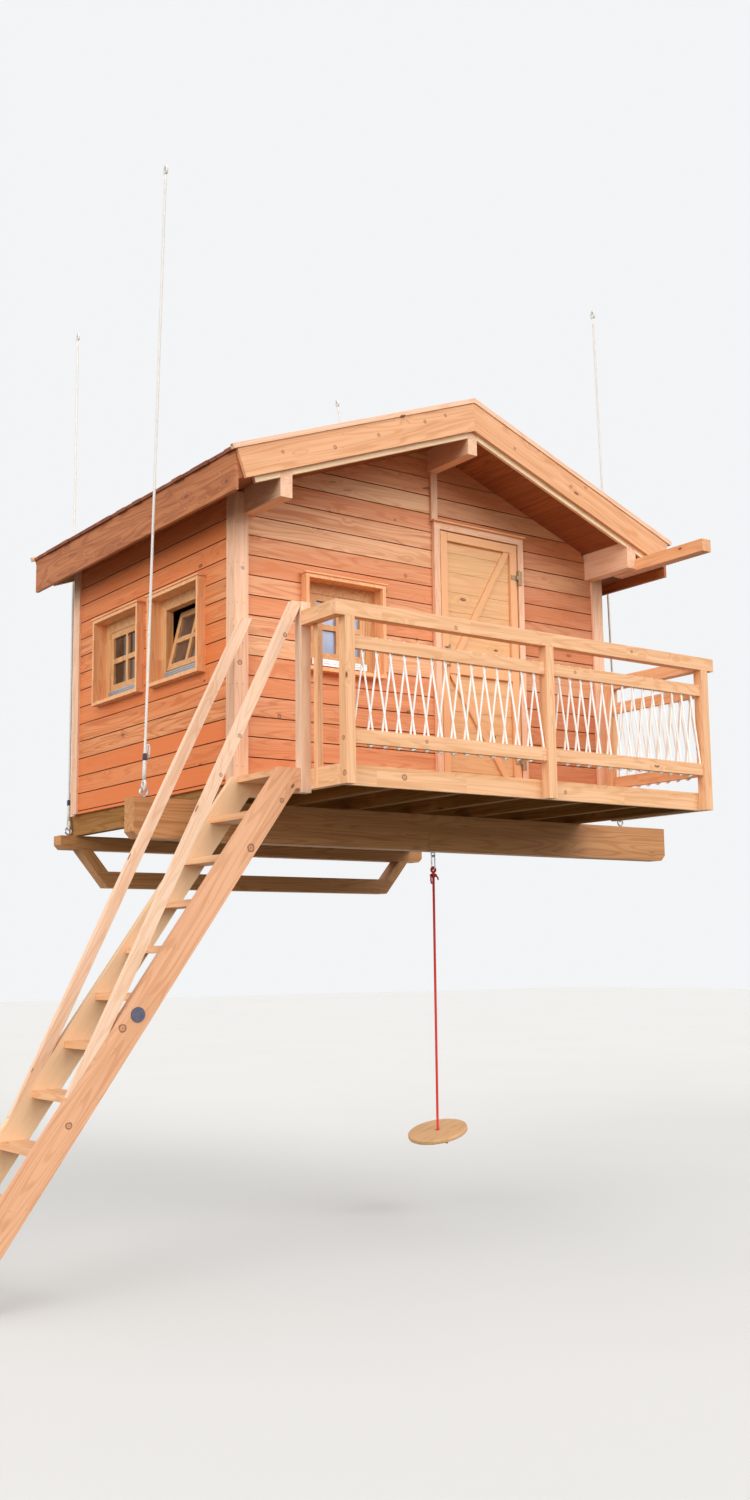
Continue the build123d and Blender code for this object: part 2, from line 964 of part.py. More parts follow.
with BuildPart() as door_straps:
    for place in hinge_places:
        strap_low = place - strap_width / 2
        box(
            (hinge_x - strap_length, leaf_front - hinge_plate_thickness, strap_low),
            (hinge_x - hinge_knuckle_radius, leaf_front, strap_low + strap_width),
        )
        box(
            (hinge_x - 2 * hinge_knuckle_radius, hinge_y, strap_low),
            (hinge_x - hinge_knuckle_radius + hinge_play, leaf_front, strap_low + strap_width),
        )
        with BuildSketch(Plane.XY.offset(strap_low)):
            with Locations((hinge_x, hinge_y)):
                Circle(hinge_knuckle_radius)
        extrude(amount=strap_width)
        with BuildSketch(Plane.XY.offset(strap_low)):
            with Locations((hinge_x - hinge_knuckle_radius, hinge_y)):
                Rectangle(2 * hinge_knuckle_radius, hinge_plate_thickness)
        extrude(amount=strap_width)
        with BuildSketch(Plane.XY.offset(strap_low)):
            with Locations((hinge_x, hinge_y)):
                Circle(hinge_pin_radius + hinge_play)
        extrude(amount=strap_width, mode=Mode.SUBTRACT)
save(door_straps.part, "door_straps")

# Handle: a bar on two feet, on the leaf's free side
handle_x = leaf_left + door_batten_width / 2
bar_y = leaf_front - handle_reach
with BuildPart() as door_handle:
    with BuildSketch(Plane.XY.offset(up(handle_height) - handle_length / 2)):
        with Locations((handle_x, bar_y)):
            RegularPolygon(handle_radius, ring_sides)
    extrude(amount=handle_length)
    for end in (-1, 1):
        with BuildSketch(Plane.XZ.offset(-leaf_front)):
            with Locations((handle_x, up(handle_height) + end * (handle_length / 2 - handle_foot_radius))):
                RegularPolygon(handle_foot_radius / 2, ring_sides)
        extrude(amount=handle_reach)
        with BuildSketch(Plane.XZ.offset(-leaf_front)):
            with Locations((handle_x, up(handle_height) + end * (handle_length / 2 - handle_foot_radius))):
                RegularPolygon(handle_foot_radius, ring_sides)
        extrude(amount=hinge_plate_thickness)
save(door_handle.part, "door_handle")

# Railing: posts outside the front rim, a newel at the stair, rails between
post_front = back(-deck_depth) - post_size
post_lefts = (
    across(deck_left),
    across((deck_left + deck_right - post_size) / 2 + middle_post_shift),
    across(deck_right) - post_size,
)
wall_post_front = back(-corner_board_thickness) - post_size
with BuildPart() as railing_posts:
    for x in post_lefts:
        box((x, post_front, up(-rim_height)), (x + post_size, post_front + post_size, rail_bottom))
    box(
        (post_lefts[2], wall_post_front, up(0)),
        (post_lefts[2] + post_size, wall_post_front + post_size, rail_bottom),
    )
    box(*gate_post)
save(railing_posts.part, "railing_posts")

with BuildPart() as stair_newel:
    box(
        (newel_left, newel_front, up(-newel_foot)),
        (newel_right, newel_front + post_size, up(newel_top)),
    )
save(stair_newel.part, "stair_newel")

with BuildPart() as top_rails:
    box(
        (newel_left, post_front, rail_bottom),
        (across(deck_right + rail_right_overhang), post_front + post_size, up(rail_top)),
    )
    box(
        (newel_left, post_front, rail_bottom),
        (newel_right, newel_front, up(rail_top)),
    )
    box(
        (post_lefts[2], post_front, rail_bottom),
        (post_lefts[2] + post_size, wall_post_front + post_size, up(rail_top)),
    )
save(top_rails.part, "top_rails")


def bay_rails(top, height):
    """Rails between the posts at one height: two in front, one at the right end."""
    low = up(top - height)
    rail_front = post_front + (post_size - rail_thickness) / 2
    for start, end in zip(post_lefts, post_lefts[1:]):
        box((start + post_size, rail_front, low), (end, rail_front + rail_thickness, up(top)))
    rail_left = post_lefts[2] + (post_size - rail_thickness) / 2
    box(
        (rail_left, post_front + post_size, low),
        (rail_left + rail_thickness, wall_post_front, up(top)),
    )


with BuildPart() as lower_rails:
    bay_rails(middle_rail_top, middle_rail_height)
    bay_rails(bottom_rail_top, bottom_rail_height)
save(lower_rails.part, "lower_rails")


def lacing(plane, start, end, loops):
    """Rope laced between two rails: the two strands of a loop cross near each rail."""
    low = up(bottom_rail_top)
    high = up(middle_rail_top - middle_rail_height)
    step = (end - start - 2 * lacing_inset) / loops
    half = lacing_rope / 2
    with BuildPart() as net:
        with BuildSketch(plane):
            for index in range(loops):
                loop_x = start + lacing_inset + step / 2 + index * step
                for side in (-1, 1):
                    low_x = loop_x + side * (step / 2 + lacing_crossing)
                    high_x = loop_x - side * lacing_crossing
                    with BuildLine():
                        Polyline(
                            (low_x - half, low),
                            (low_x + half, low),
                            (high_x + half, high),
                            (high_x - half, high),
                            close=True,
                        )
                    make_face()
        extrude(amount=lacing_rope)
    return net.part


lacing_y = post_front + post_size / 2 + lacing_rope / 2
front_plane = Plane.XZ.offset(-lacing_y)
for start, end, name in (
    (post_lefts[0], post_lefts[1], "left"),
    (post_lefts[1], post_lefts[2], "right"),
):
    save(lacing(front_plane, start + post_size, end, lacing_loops), f"rope_lacing_{name}")
end_plane = Plane.YZ.offset(post_lefts[2] + (post_size - lacing_rope) / 2)
save(
    lacing(end_plane, post_front + post_size, wall_post_front, end_lacing_loops),
    "rope_lacing_end",
)

# Stair: housed treads between two stringers, with a slanted handrail each side
slope = riser / going
ground = up(-riser * riser_count)


def stringer_z(x, offset):
    """Z of a line along the stair's slope, offset over the nosing line's zero."""
    return up(offset) + (x - across(0)) * slope


def on_slope(z, offset):
    """X where a line along the stair's slope is at height z."""
    return across(0) + (z - up(offset)) / slope


tread_back = stringer_front + stair_width - corner_board_thickness
far_stringer_front = tread_back - stringer_thickness
stringers = (
    (stringer_front, newel_left),
    (far_stringer_front, newel_right),
)


with BuildPart() as stair_treads:
    for index in range(riser_count):
        nosing = across(nosing_place - index * going)
        top = up(-index * riser)
        tail = newel_right if index == 0 else nosing + tread_depth
        box(
            (nosing, stringer_front + stringer_thickness - housing_depth, top - tread_thickness),
            (tail, far_stringer_front + housing_depth, top),
        )
    box(
        (newel_left, newel_front, up(-tread_thickness)),
        (newel_right, newel_front + post_size, up(0)),
        Mode.SUBTRACT,
    )
save(stair_treads.part, "stair_treads")

with BuildPart() as stair_stringers:
    for front, end_x in stringers:
        with BuildSketch(Plane.XZ.offset(-front - stringer_thickness)):
            with BuildLine():
                Polyline(
                    (on_slope(up(0), stringer_above), up(0)),
                    (end_x, up(0)),
                    (end_x, up(-rim_height)),
                    (on_slope(up(-rim_height), -stringer_below), up(-rim_height)),
                    (on_slope(ground, -stringer_below), ground),
                    (on_slope(ground, stringer_above), ground),
                    close=True,
                )
            make_face()
        extrude(amount=stringer_thickness)
    add(stair_treads.part, mode=Mode.SUBTRACT)
save(stair_stringers.part, "stair_stringers")

handrail_reach = handrail_depth * hypot(1, handrail_rise_per_run) / handrail_rise_per_run
foot_run = handrail_reach * handrail_rise_per_run / (handrail_rise_per_run - slope)


def handrail(foot, front):
    """A slanted rail from a foot on the stringer's edge to the newel's height."""
    foot_x = across(foot)
    foot_z = stringer_z(foot_x, stringer_above)
    head_x = foot_x + (up(newel_top) - foot_z) / handrail_rise_per_run
    with BuildPart() as rail:
        with BuildSketch(Plane.XZ.offset(-front - stringer_thickness)):
            with BuildLine():
                Polyline(
                    (head_x, up(newel_top)),
                    (head_x - handrail_reach, up(newel_top)),
                    (foot_x - foot_run, stringer_z(foot_x - foot_run, stringer_above)),
                    (foot_x, foot_z),
                    close=True,
                )
            make_face()
        extrude(amount=stringer_thickness)
        add(stair_newel.part, mode=Mode.SUBTRACT)
    return rail.part


with BuildPart() as stair_handrails:
    add(handrail(near_handrail_foot, stringer_front))
    add(handrail(far_handrail_foot, far_stringer_front))
save(stair_handrails.part, "stair_handrails")

with BuildPart() as stringer_disc:
    disc_x = across(-disc_distance)
    disc_z = stringer_z(disc_x, (stringer_above - stringer_below) / 2)
    with BuildSketch(Plane.XZ.offset(-stringer_front)):
        with Locations((disc_x, disc_z)):
            Circle(disc_radius)
    extrude(amount=disc_thickness)
save(stringer_disc.part, "stringer_disc")

# Eye bolts on the beams: a washer, a stem and a ring, the ring across the rope
front_eye_x = cabin_width / 2 + beam_left_overhang - front_eye_inset
back_eye_x = chord_half_length - back_eye_inset
back_eye_y = -chord_thickness / 2
eye_height = eye_stem_height + eye_ring_radius
swing_x = across(swing_place)
ring_z = beam_bottom - swing_stem_height - swing_ring_radius
link_top = ring_z - swing_ring_radius
with BuildPart() as eye_bolts:
    for eye_x, eye_y, eye_z in (
        (front_eye_x, beam_middle, beam_top),
        (back_eye_x, back_eye_y, chord_top),
    ):
        for side in (-1, 1):
            with BuildSketch(Plane.XY.offset(eye_z)):
                with Locations((side * eye_x, eye_y)):
                    RegularPolygon(eye_washer_radius, ring_sides)
            extrude(amount=eye_washer_thickness)
            with BuildSketch(Plane.XY.offset(eye_z)):
                with Locations((side * eye_x, eye_y)):
                    RegularPolygon(eye_stem_radius, ring_sides)
            extrude(amount=eye_stem_height)
            with Locations(Plane(origin=(side * eye_x, eye_y, eye_z + eye_height), z_dir=(0, 1, 0))):
                add(ring(eye_ring_radius, eye_wire_radius))
    with BuildSketch(Plane.XY.offset(beam_bottom)):
        with Locations((swing_x, beam_middle)):
            RegularPolygon(eye_washer_radius, ring_sides)
    extrude(amount=-swing_stem_height)
    with Locations(Plane(origin=(swing_x, beam_middle, ring_z), z_dir=(0, 1, 0))):
        add(ring(swing_ring_radius, swing_wire_radius))
save(eye_bolts.part, "eye_bolts")


def hung_rope(start, end):
    """A taut rope: a loop through the eye ring, a splice, the rope and an end loop."""
    low = Vector(*start)
    high = Vector(*end)
    run = (high - low).normalized()
    splice_start = low + run * (2 * rope_loop_radius)
    rope_plane = Plane(origin=splice_start, z_dir=run)
    with BuildPart() as rope:
        for middle in (low + run * rope_loop_radius, high):
            with Locations(Plane(origin=middle, x_dir=run, z_dir=(1, 0, 0))):
                add(ring(rope_loop_radius, rope_radius))
        with BuildSketch(rope_plane):
            RegularPolygon(splice_radius, ring_sides)
        extrude(amount=splice_length)
        with BuildSketch(rope_plane):
            RegularPolygon(rope_radius, ring_sides)
        extrude(amount=(high - splice_start).length - rope_loop_radius)
    return rope.part


wire_flats = (eye_wire_radius + rope_radius) * cos(pi / wire_sides)
loop_rise = eye_height + eye_ring_radius - wire_flats - link_play
with BuildPart() as hanging_ropes:
    for side in (-1, 1):
        add(
            hung_rope(
                (side * front_eye_x, beam_middle, beam_top + loop_rise),
                (side * (front_eye_x - front_rope_lean), beam_middle, up(rope_end_height)),
            )
        )
        add(
            hung_rope(
                (side * back_eye_x, back_eye_y, chord_top + loop_rise - back_loop_settle),
                (
                    side * (back_eye_x - back_rope_lean_in),
                    back_eye_y + back_rope_lean_back,
                    up(rope_end_height),
                ),
            )
        )
save(hanging_ropes.part, "hanging_ropes")

# Swing: a link in the beam's ring, a rope with a knot and a round seat
link_bottom = link_top - link_length
inside = link_bend_radius - swing_wire_radius
bend_top = link_top - (inside - swing_wire_radius - link_play)
bend_bottom = link_bottom + link_bend_radius
link_points = [(swing_x, beam_middle + link_bend_radius, (bend_top + bend_bottom) / 2)]
for middle_z, first_angle in ((bend_top, 0), (bend_bottom, pi)):
    for step in range(link_bend_sides + 1):
        angle = first_angle + pi * step / link_bend_sides
        y = beam_middle + link_bend_radius * cos(angle)
        link_points.append((swing_x, y, middle_z + link_bend_radius * sin(angle)))
swing_link = bent_wire(link_points, swing_wire_radius)
save(swing_link, "swing_link")

loop_middle = link_bottom + swing_wire_radius + swing_rope_radius + link_play - swing_loop_radius
knot_middle = loop_middle - swing_loop_radius - swing_knot_radius
rope_top = knot_middle - swing_knot_flat
seat_lean = radians(swing_seat_tilt)
seat_plane = Plane(
    origin=(swing_x, beam_middle, up(swing_seat_height)),
    z_dir=(0, -sin(seat_lean), cos(seat_lean)),
)
end_knot_drop = (swing_seat_thickness / 2 + end_knot_radius + seat_play) / cos(seat_lean)
end_knot_middle = up(swing_seat_height) - end_knot_drop
rope_foot = end_knot_middle + end_knot_flat
with BuildPart() as swing_knots:
    with Locations(Plane(origin=(swing_x, beam_middle, loop_middle), z_dir=(0, 1, 0))):
        add(ring(swing_loop_radius, swing_rope_radius))
    with Locations(Plane(origin=(swing_x, beam_middle, knot_middle), z_dir=(0, 0, -1))):
        add(knot(swing_knot_radius, swing_knot_flat))
    with Locations((swing_x, beam_middle, end_knot_middle)):
        add(knot(end_knot_radius, end_knot_flat))
save(swing_knots.part, "swing_knots")

with BuildPart() as swing_rope:
    with BuildSketch(Plane.XY.offset(rope_foot)):
        with Locations((swing_x, beam_middle)):
            RegularPolygon(swing_rope_radius, ring_sides)
    extrude(amount=rope_top - rope_foot)
save(swing_rope.part, "swing_rope")

half = swing_seat_thickness / 2
with BuildPart() as swing_seat:
    for height, inset in (
        (-half, swing_seat_edge),
        (swing_seat_edge - half, 0),
        (half - swing_seat_edge, 0),
        (half, swing_seat_edge),
    ):
        with BuildSketch(seat_plane.offset(height)):
            RegularPolygon(swing_seat_radius - inset, swing_seat_sides)
    loft(ruled=True)
    with BuildSketch(seat_plane.offset(-half)):
        RegularPolygon(swing_seat_hole, ring_sides)
    extrude(amount=swing_seat_thickness, mode=Mode.SUBTRACT)
save(swing_seat.part, "swing_seat")
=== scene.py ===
from math import cos, pi, radians, sin

import bpy
import numpy as np
from mathutils import Matrix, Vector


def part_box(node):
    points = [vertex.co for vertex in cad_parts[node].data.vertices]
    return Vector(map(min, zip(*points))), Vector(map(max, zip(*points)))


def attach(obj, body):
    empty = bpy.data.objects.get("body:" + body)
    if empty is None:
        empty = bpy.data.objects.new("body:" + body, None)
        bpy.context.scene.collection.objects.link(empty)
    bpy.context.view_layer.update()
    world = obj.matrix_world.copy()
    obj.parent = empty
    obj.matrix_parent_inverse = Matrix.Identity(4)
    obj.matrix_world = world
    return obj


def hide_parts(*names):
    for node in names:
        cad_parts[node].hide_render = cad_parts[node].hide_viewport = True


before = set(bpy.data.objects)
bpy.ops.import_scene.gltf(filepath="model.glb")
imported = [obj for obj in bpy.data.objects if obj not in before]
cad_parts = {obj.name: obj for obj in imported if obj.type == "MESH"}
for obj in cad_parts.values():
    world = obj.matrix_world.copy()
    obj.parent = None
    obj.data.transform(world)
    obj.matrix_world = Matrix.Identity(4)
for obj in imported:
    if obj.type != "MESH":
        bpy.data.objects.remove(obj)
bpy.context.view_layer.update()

bl_info = {
    "name": "Tree house dressing",
    "version": (1, 0, 0),
    "blender": (4, 5, 0),
    "location": "View3D > Sidebar > Tree house",
    "description": "Boards, shingles, ropes and finishes for the tree house frame",
    "category": "Object",
}

# Places in the house, in metres
CABIN_HALF = 1.645
CORNER_OUT = 1.663
CORNER_MIDDLE = 1.619
INNER_HALF = 1.589
FRONT = -2.580
BACK = -0.130
WALL = 0.056
DECK = 0.2375
CLADDING_FOOT = DECK - 0.027
PLATE_TOP = 2.1585
ROOF_DEEP = 0.196
FLOOR_LEVEL = -2.6995
FRONT_GLASS = -2.35
WINDOW_LOW, WINDOW_HIGH = 0.9935, 1.6495
FRONT_WINDOW = (-1.134, -0.474)
SIDE_WINDOWS = ((-2.185, -1.445), (-1.295, -0.555))
DOOR_HOLE = (-0.013, 0.837)
DOOR_TOP = 2.2045
CORNER_FRONT, CORNER_BACK = -2.598, -0.112
BARGE_FRONT, BARGE_BACK = -3.068, 0.068
FASCIA_OUT = 1.920
RAIL_FRONT = -3.510
STAIR_FRONT = -3.192
STAIR_MIDDLE = -2.9
STAIR_HEAD = -1.556
TREAD_RISE, TREAD_GOING = 0.267, 0.1928
FIRST_JOIST, JOIST_STEP = -1.590, 0.530
FIRST_DECK_BOARD, DECK_BOARD_STEP = -3.4475, 0.1309
SWING = (0.207, -2.254)
BEYOND = 9.0  # farther out than any piece

# Slopes and angles, in radians
SLOPE = 0.372
SLOPE_ANGLE = float(np.arctan(SLOPE))
STAIR_ANGLE = float(np.arctan2(267, 190))
HANDRAIL_ANGLE = float(np.arctan(2.04))
BRACE_ANGLE = float(np.arctan2(1.0, 0.828))
SEAT_LEAN = radians(16.0)

# What the woods share
SEAM = 0.0002  # gap between pieces that touch
# Painted shade: boards near the foot of a wall are turned redder and darker.
FOOT_SHADE_REACH = 0.55  # height up to which a wall's boards turn redder downwards
GRAIN_SPREAD = (9.0, 5.0)  # range of places where a board's grain starts
WORN_AND_LIT = 0.35  # usual wear and painted highlight of edges

# The photograph's camera
CAMERA_PLACE = (-6.390, -10.656, -0.936)
CAMERA_YAW, CAMERA_PITCH, CAMERA_ROLL = 0.627, 0.143, -0.0114
CAMERA_SENSOR_MM, CAMERA_LENS_MM = 36.0, 70.63


def roof_underside(x):
    """Height of the roof's underside: it falls by SLOPE from the ridge to each eave."""
    return PLATE_TOP + (INNER_HALF - np.abs(x)) * SLOPE


# Sizes and colours that a user may change


def length(name, description, default):
    """A length in metres."""
    return bpy.props.FloatProperty(
        name=name, description=description, default=default, min=0.0, unit="LENGTH"
    )


def colour(name, description, default):
    """A linear colour."""
    return bpy.props.FloatVectorProperty(
        name=name, description=description, default=default, size=3, min=0.0, max=1.0,
        subtype="COLOR",
    )


class TreeHouseSizes(bpy.types.PropertyGroup):
    """Sizes of the boards, shingles and ropes."""

    board_pitch: length("Board pitch", "Cover height of one wall board", 0.1342)
    board_start: length("Board start", "Height of a board joint over the world's zero", 0.2452)
    groove_width: length("Groove width", "Width of the joint between two wall boards", 0.007)
    groove_depth: length("Groove depth", "Depth of that joint", 0.009)
    soffit_pitch: length("Soffit pitch", "Width of one roof board", 0.118)
    shingle_exposure: length("Shingle exposure", "Part of a shingle that shows", 0.155)
    shingle_width: length("Shingle width", "Mean width of a shingle", 0.115)
    lacing_radius: length("Lacing radius", "Radius of the rope in the railing", 0.0066)
    rope_radius: length("Rope radius", "Radius of the hanging and swing ropes", 0.009)


class TreeHouseColours(bpy.types.PropertyGroup):
    """Colours of the woods, ropes and metals."""

    cladding_light: colour("Cladding, pale", "Pale wood of the walls", (0.86, 0.485, 0.27))
    cladding_dark: colour("Cladding, dark", "Streaks of the walls", (0.56, 0.21, 0.08))
    cladding_red: colour("Cladding, red", "Redder boards of the walls", (0.7, 0.22, 0.075))
    trim_light: colour("Trim, pale", "Corner boards, door frame", (0.9, 0.57, 0.39))
    trim_dark: colour("Trim, dark", "Streaks of the trim", (0.76, 0.42, 0.25))
    rail_light: colour("Rails, pale", "Railing, deck and treads", (0.88, 0.53, 0.3))
    rail_dark: colour("Rails, dark", "Streaks of the railing and deck", (0.72, 0.36, 0.165))
    barge_light: colour("Barge boards, pale", "Roof edge boards", (0.84, 0.445, 0.23))
    barge_dark: colour("Barge boards, dark", "Streaks of the roof edge boards", (0.66, 0.29, 0.12))
    fascia_light: colour("Fascia, pale", "Boards along the eaves", (0.52, 0.18, 0.055))
    fascia_dark: colour("Fascia, dark", "Streaks of the eaves' boards", (0.32, 0.085, 0.02))
    # Painted shade: a darker, redder tint for the front wall's boards right of the gable trim,
    # where shade falls.
    cladding_painted_shade: colour("Cladding, right", "Tint right of the gable trim", (0.42, 0.105, 0.03))
    cladding_blond: colour("Cladding, blond", "Paler boards of the walls", (0.9, 0.56, 0.31))
    # Painted shade: the side walls' colours are a darker, redder copy of the cladding colours, for
    # the side walls' different light.
    side_light: colour("Side cladding, pale", "Pale wood of the side walls", (0.83, 0.37, 0.155))
    side_dark: colour("Side cladding, dark", "Streaks of the side walls", (0.46, 0.13, 0.03))
    side_red: colour("Side cladding, red", "Redder boards of the side walls", (0.73, 0.18, 0.04))
    side_blond: colour("Side cladding, blond", "Paler boards there", (0.84, 0.46, 0.20))
    casing_light: colour("Casing, pale", "Window casings", (0.95, 0.53, 0.27))
    casing_dark: colour("Casing, dark", "Streaks of the casings", (0.78, 0.34, 0.14))
    # Painted light: the far stringer's inner face is tinted paler, as light falling on it.
    string_far_painted_light: colour("Far stringer", "Paler far stringer of the stair", (0.95, 0.70, 0.43))
    string_light: colour("Stringers, pale", "Sides of the stair", (0.82, 0.445, 0.255))
    string_dark: colour("Stringers, dark", "Streaks of the stringers", (0.64, 0.295, 0.145))
    stair_light: colour("Handrail, pale", "Handrails and newel", (0.88, 0.63, 0.46))
    stair_dark: colour("Handrail, dark", "Streaks of the handrails", (0.76, 0.46, 0.285))
    batten_light: colour("Batten, pale", "Pale strips under the roof edge", (0.92, 0.7, 0.47))
    batten_dark: colour("Batten, dark", "Streaks of those strips", (0.78, 0.52, 0.3))
    frame_light: colour("Frame timber, pale", "Beams and back frame", (0.66, 0.32, 0.12))
    frame_dark: colour("Frame timber, dark", "Streaks of the frame timber", (0.44, 0.175, 0.055))
    # Painted shade: the joists are a darker copy of the frame timber, for the shade under the deck.
    joist_light: colour("Joist, pale", "Joists under the floor", (0.40, 0.20, 0.07))
    joist_dark: colour("Joist, dark", "Streaks of the joists", (0.26, 0.11, 0.03))
    soffit_light: colour("Soffit, pale", "Underside of the roof", (0.4, 0.12, 0.032))
    soffit_dark: colour("Soffit, dark", "Streaks of that underside", (0.24, 0.06, 0.012))
    shingle_light: colour("Shingle, pale", "Newer shingles", (0.42, 0.13, 0.055))
    shingle_dark: colour("Shingle, dark", "Darker shingles", (0.21, 0.05, 0.02))
    door_light: colour("Door, pale", "Boards of the door", (0.77, 0.45, 0.215))
    door_dark: colour("Door, dark", "Streaks of the door", (0.67, 0.36, 0.155))
    window_light: colour("Window, pale", "Window frames and sashes", (0.76, 0.42, 0.19))
    window_dark: colour("Window, dark", "Streaks of the windows", (0.56, 0.26, 0.1))
    knot: colour("Knot", "Knots in the wood", (0.17, 0.05, 0.016))
    lacing_white: colour("Lacing rope", "Rope in the railing", (1.0, 0.98, 0.93))
    whipping: colour("Whipping", "Thread wound round the ropes", (0.05, 0.05, 0.10))
    rope_white: colour("White rope", "Hanging ropes", (0.74, 0.71, 0.67))
    rope_red: colour("Red rope", "Swing rope", (0.7, 0.028, 0.022))
    seat_light: colour("Seat, pale", "Swing seat", (0.74, 0.45, 0.225))
    seat_dark: colour("Seat, dark", "Streaks of the swing seat", (0.56, 0.3, 0.13))
    steel: colour("Steel", "Galvanised fittings", (0.56, 0.57, 0.58))
    iron: colour("Iron", "Door fittings", (0.44, 0.30, 0.17))


def sizes():
    """The sizes that the scene holds."""
    return bpy.context.scene.tree_house_sizes


def colours():
    """The colours that the scene holds."""
    return bpy.context.scene.tree_house_colours


def shades(wood, *more):
    """The pale and the dark colour of a wood, and more of its colours by their names."""
    return [tuple(getattr(colours(), f"{wood}_{shade}")) for shade in ("light", "dark", *more)]


# Shader helpers


class Tree:
    """Adds nodes to a node tree and joins them; a value is a number, a colour or a socket."""

    def __init__(self, tree):
        self.tree = tree

    def add(self, kind, values=None, **settings):
        """A node with its settings and the values of its inputs."""
        node = self.tree.nodes.new(kind)
        for key, value in settings.items():
            setattr(node, key, value)
        for key, value in (values or {}).items():
            self.put(node.inputs[key], value)
        return node

    def put(self, socket, value):
        """Joins a socket to an input, or sets the input to a constant."""
        if isinstance(value, bpy.types.NodeSocket):
            self.tree.links.new(value, socket)
        elif hasattr(value, "__len__") and len(value) == 3 and socket.type == "RGBA":
            socket.default_value = (*value, 1.0)
        else:
            socket.default_value = value

    def maths(self, operation, first, second=0.0, third=0.0, clamp=False):
        """The result of an operation on up to three numbers."""
        node = self.add("ShaderNodeMath", operation=operation, use_clamp=clamp)
        for index, value in enumerate((first, second, third)):
            self.put(node.inputs[index], value)
        return node.outputs[0]

    def vector(self, operation, first, second=(0.0, 0.0, 0.0)):
        """The result of an operation on two vectors."""
        node = self.add("ShaderNodeVectorMath", operation=operation)
        self.put(node.inputs[0], first)
        self.put(node.inputs[1], second)
        return node.outputs[0]

    def split(self, value):
        """The three numbers of a vector."""
        return self.add("ShaderNodeSeparateXYZ", {0: value}).outputs

    def join(self, x, y, z):
        """The vector of three numbers."""
        return self.add("ShaderNodeCombineXYZ", {0: x, 1: y, 2: z}).outputs[0]

    def blend(self, factor, first, second, kind="MIX"):
        """The first colour where factor is 0 and the second where it is 1."""
        node = self.add("ShaderNodeMix", data_type="RGBA", blend_type=kind)
        self.put(node.inputs[0], factor)
        self.put(node.inputs[6], first)
        self.put(node.inputs[7], second)
        return node.outputs[2]

    def choose(self, factor, first, second):
        """The first vector where factor is 0 and the second where it is 1."""
        node = self.add("ShaderNodeMix", data_type="VECTOR")
        self.put(node.inputs[0], factor)
        self.put(node.inputs[4], first)
        self.put(node.inputs[5], second)
        return node.outputs[1]

    def span(self, value, low, high, start=0.0, end=1.0):
        """Value's place between low and high, smoothed, as a number from start to end."""
        node = self.add("ShaderNodeMapRange", interpolation_type="SMOOTHSTEP")
        for index, number in enumerate((value, low, high, start, end)):
            self.put(node.inputs[index], number)
        return node.outputs[0]

    def where(self):
        """The place on the piece, which moves with it."""
        return self.add("ShaderNodeTexCoord").outputs["Object"]

    def noise(self, place, scale, detail=2.0, roughness=0.5):
        """Smooth noise from 0 to 1 that changes over about 1 / scale."""
        node = self.add(
            "ShaderNodeTexNoise",
            {"Vector": place, "Scale": scale, "Detail": detail, "Roughness": roughness},
        )
        return node.outputs[0]


# Knots that stand out in the wood, as (x, y, z, radius) in metres
KNOTS = {
    "stair_stringers": (
        (-1.895, STAIR_FRONT, -0.261, 0.026), (-2.713, STAIR_FRONT, -1.281, 0.024),
        (-1.680, STAIR_FRONT, 0.032, 0.016), (-3.02, STAIR_FRONT, -1.78, 0.020),
    ),
    "railing_posts": ((-1.473, -3.553, 0.385, 0.015), (-1.473, -3.562, 0.174, 0.018)),
    "deck_rim": ((-0.992, RAIL_FRONT, 0.181, 0.020), (0.35, RAIL_FRONT, 0.168, 0.014)),
    "lower_rails": ((-0.856, -3.565, 0.406, 0.012), (0.42, -3.565, 0.98, 0.012)),
    "top_rails": ((-0.620, -3.580, 1.152, 0.013), (0.95, -3.580, 1.180, 0.012)),
    "stair_handrails": (
        (-1.654, STAIR_FRONT, 1.054, 0.014), (-1.972, STAIR_FRONT, 0.402, 0.013),
        (-2.10, STAIR_FRONT, 0.16, 0.012),
    ),
    "barge_boards": (
        (-1.587, BARGE_FRONT, 2.271, 0.012), (0.913, BARGE_FRONT, 2.503, 0.014),
        (-1.224, BARGE_FRONT, 2.502, 0.011), (-1.185, BARGE_FRONT, 2.382, 0.014),
        (-0.832, BARGE_FRONT, 2.538, 0.013), (-0.439, BARGE_FRONT, 2.715, 0.013),
        (-0.258, BARGE_FRONT, 2.798, 0.012), (0.372, BARGE_FRONT, 2.685, 0.012),
        (1.061, BARGE_FRONT, 2.526, 0.011),
    ),
    "corner_boards": ((-1.621, CORNER_FRONT, 0.988, 0.018), (-1.60, CORNER_FRONT, 1.62, 0.012)),
    "swing_seat": ((0.31, -2.31, -2.10, 0.012),),
    "front": (
        (-0.255, FRONT, 1.7685, 0.015), (-0.429, FRONT, 1.6345, 0.013),
        (-1.31, FRONT, 0.665, 0.015), (1.28, FRONT, 1.51, 0.014), (1.02, FRONT, 0.92, 0.012),
        (-1.255, FRONT, 1.284, 0.011), (-0.162, FRONT, 1.316, 0.012),
        (-0.341, FRONT, 2.163, 0.012), (-0.898, FRONT, 2.124, 0.011),
    ),
}


def new_group(name, inputs, outputs):
    """An empty shader group with named sockets; returns its helper, input and output nodes."""
    group = bpy.data.node_groups.new(name, "ShaderNodeTree")
    for socket_name, kind, default in inputs:
        socket = group.interface.new_socket(name=socket_name, in_out="INPUT", socket_type=kind)
        if default is not None:
            socket.default_value = default
    for socket_name, kind in outputs:
        group.interface.new_socket(name=socket_name, in_out="OUTPUT", socket_type=kind)
    tree = Tree(group)
    start = tree.add("NodeGroupInput")
    end = tree.add("NodeGroupOutput")
    return tree, start, end


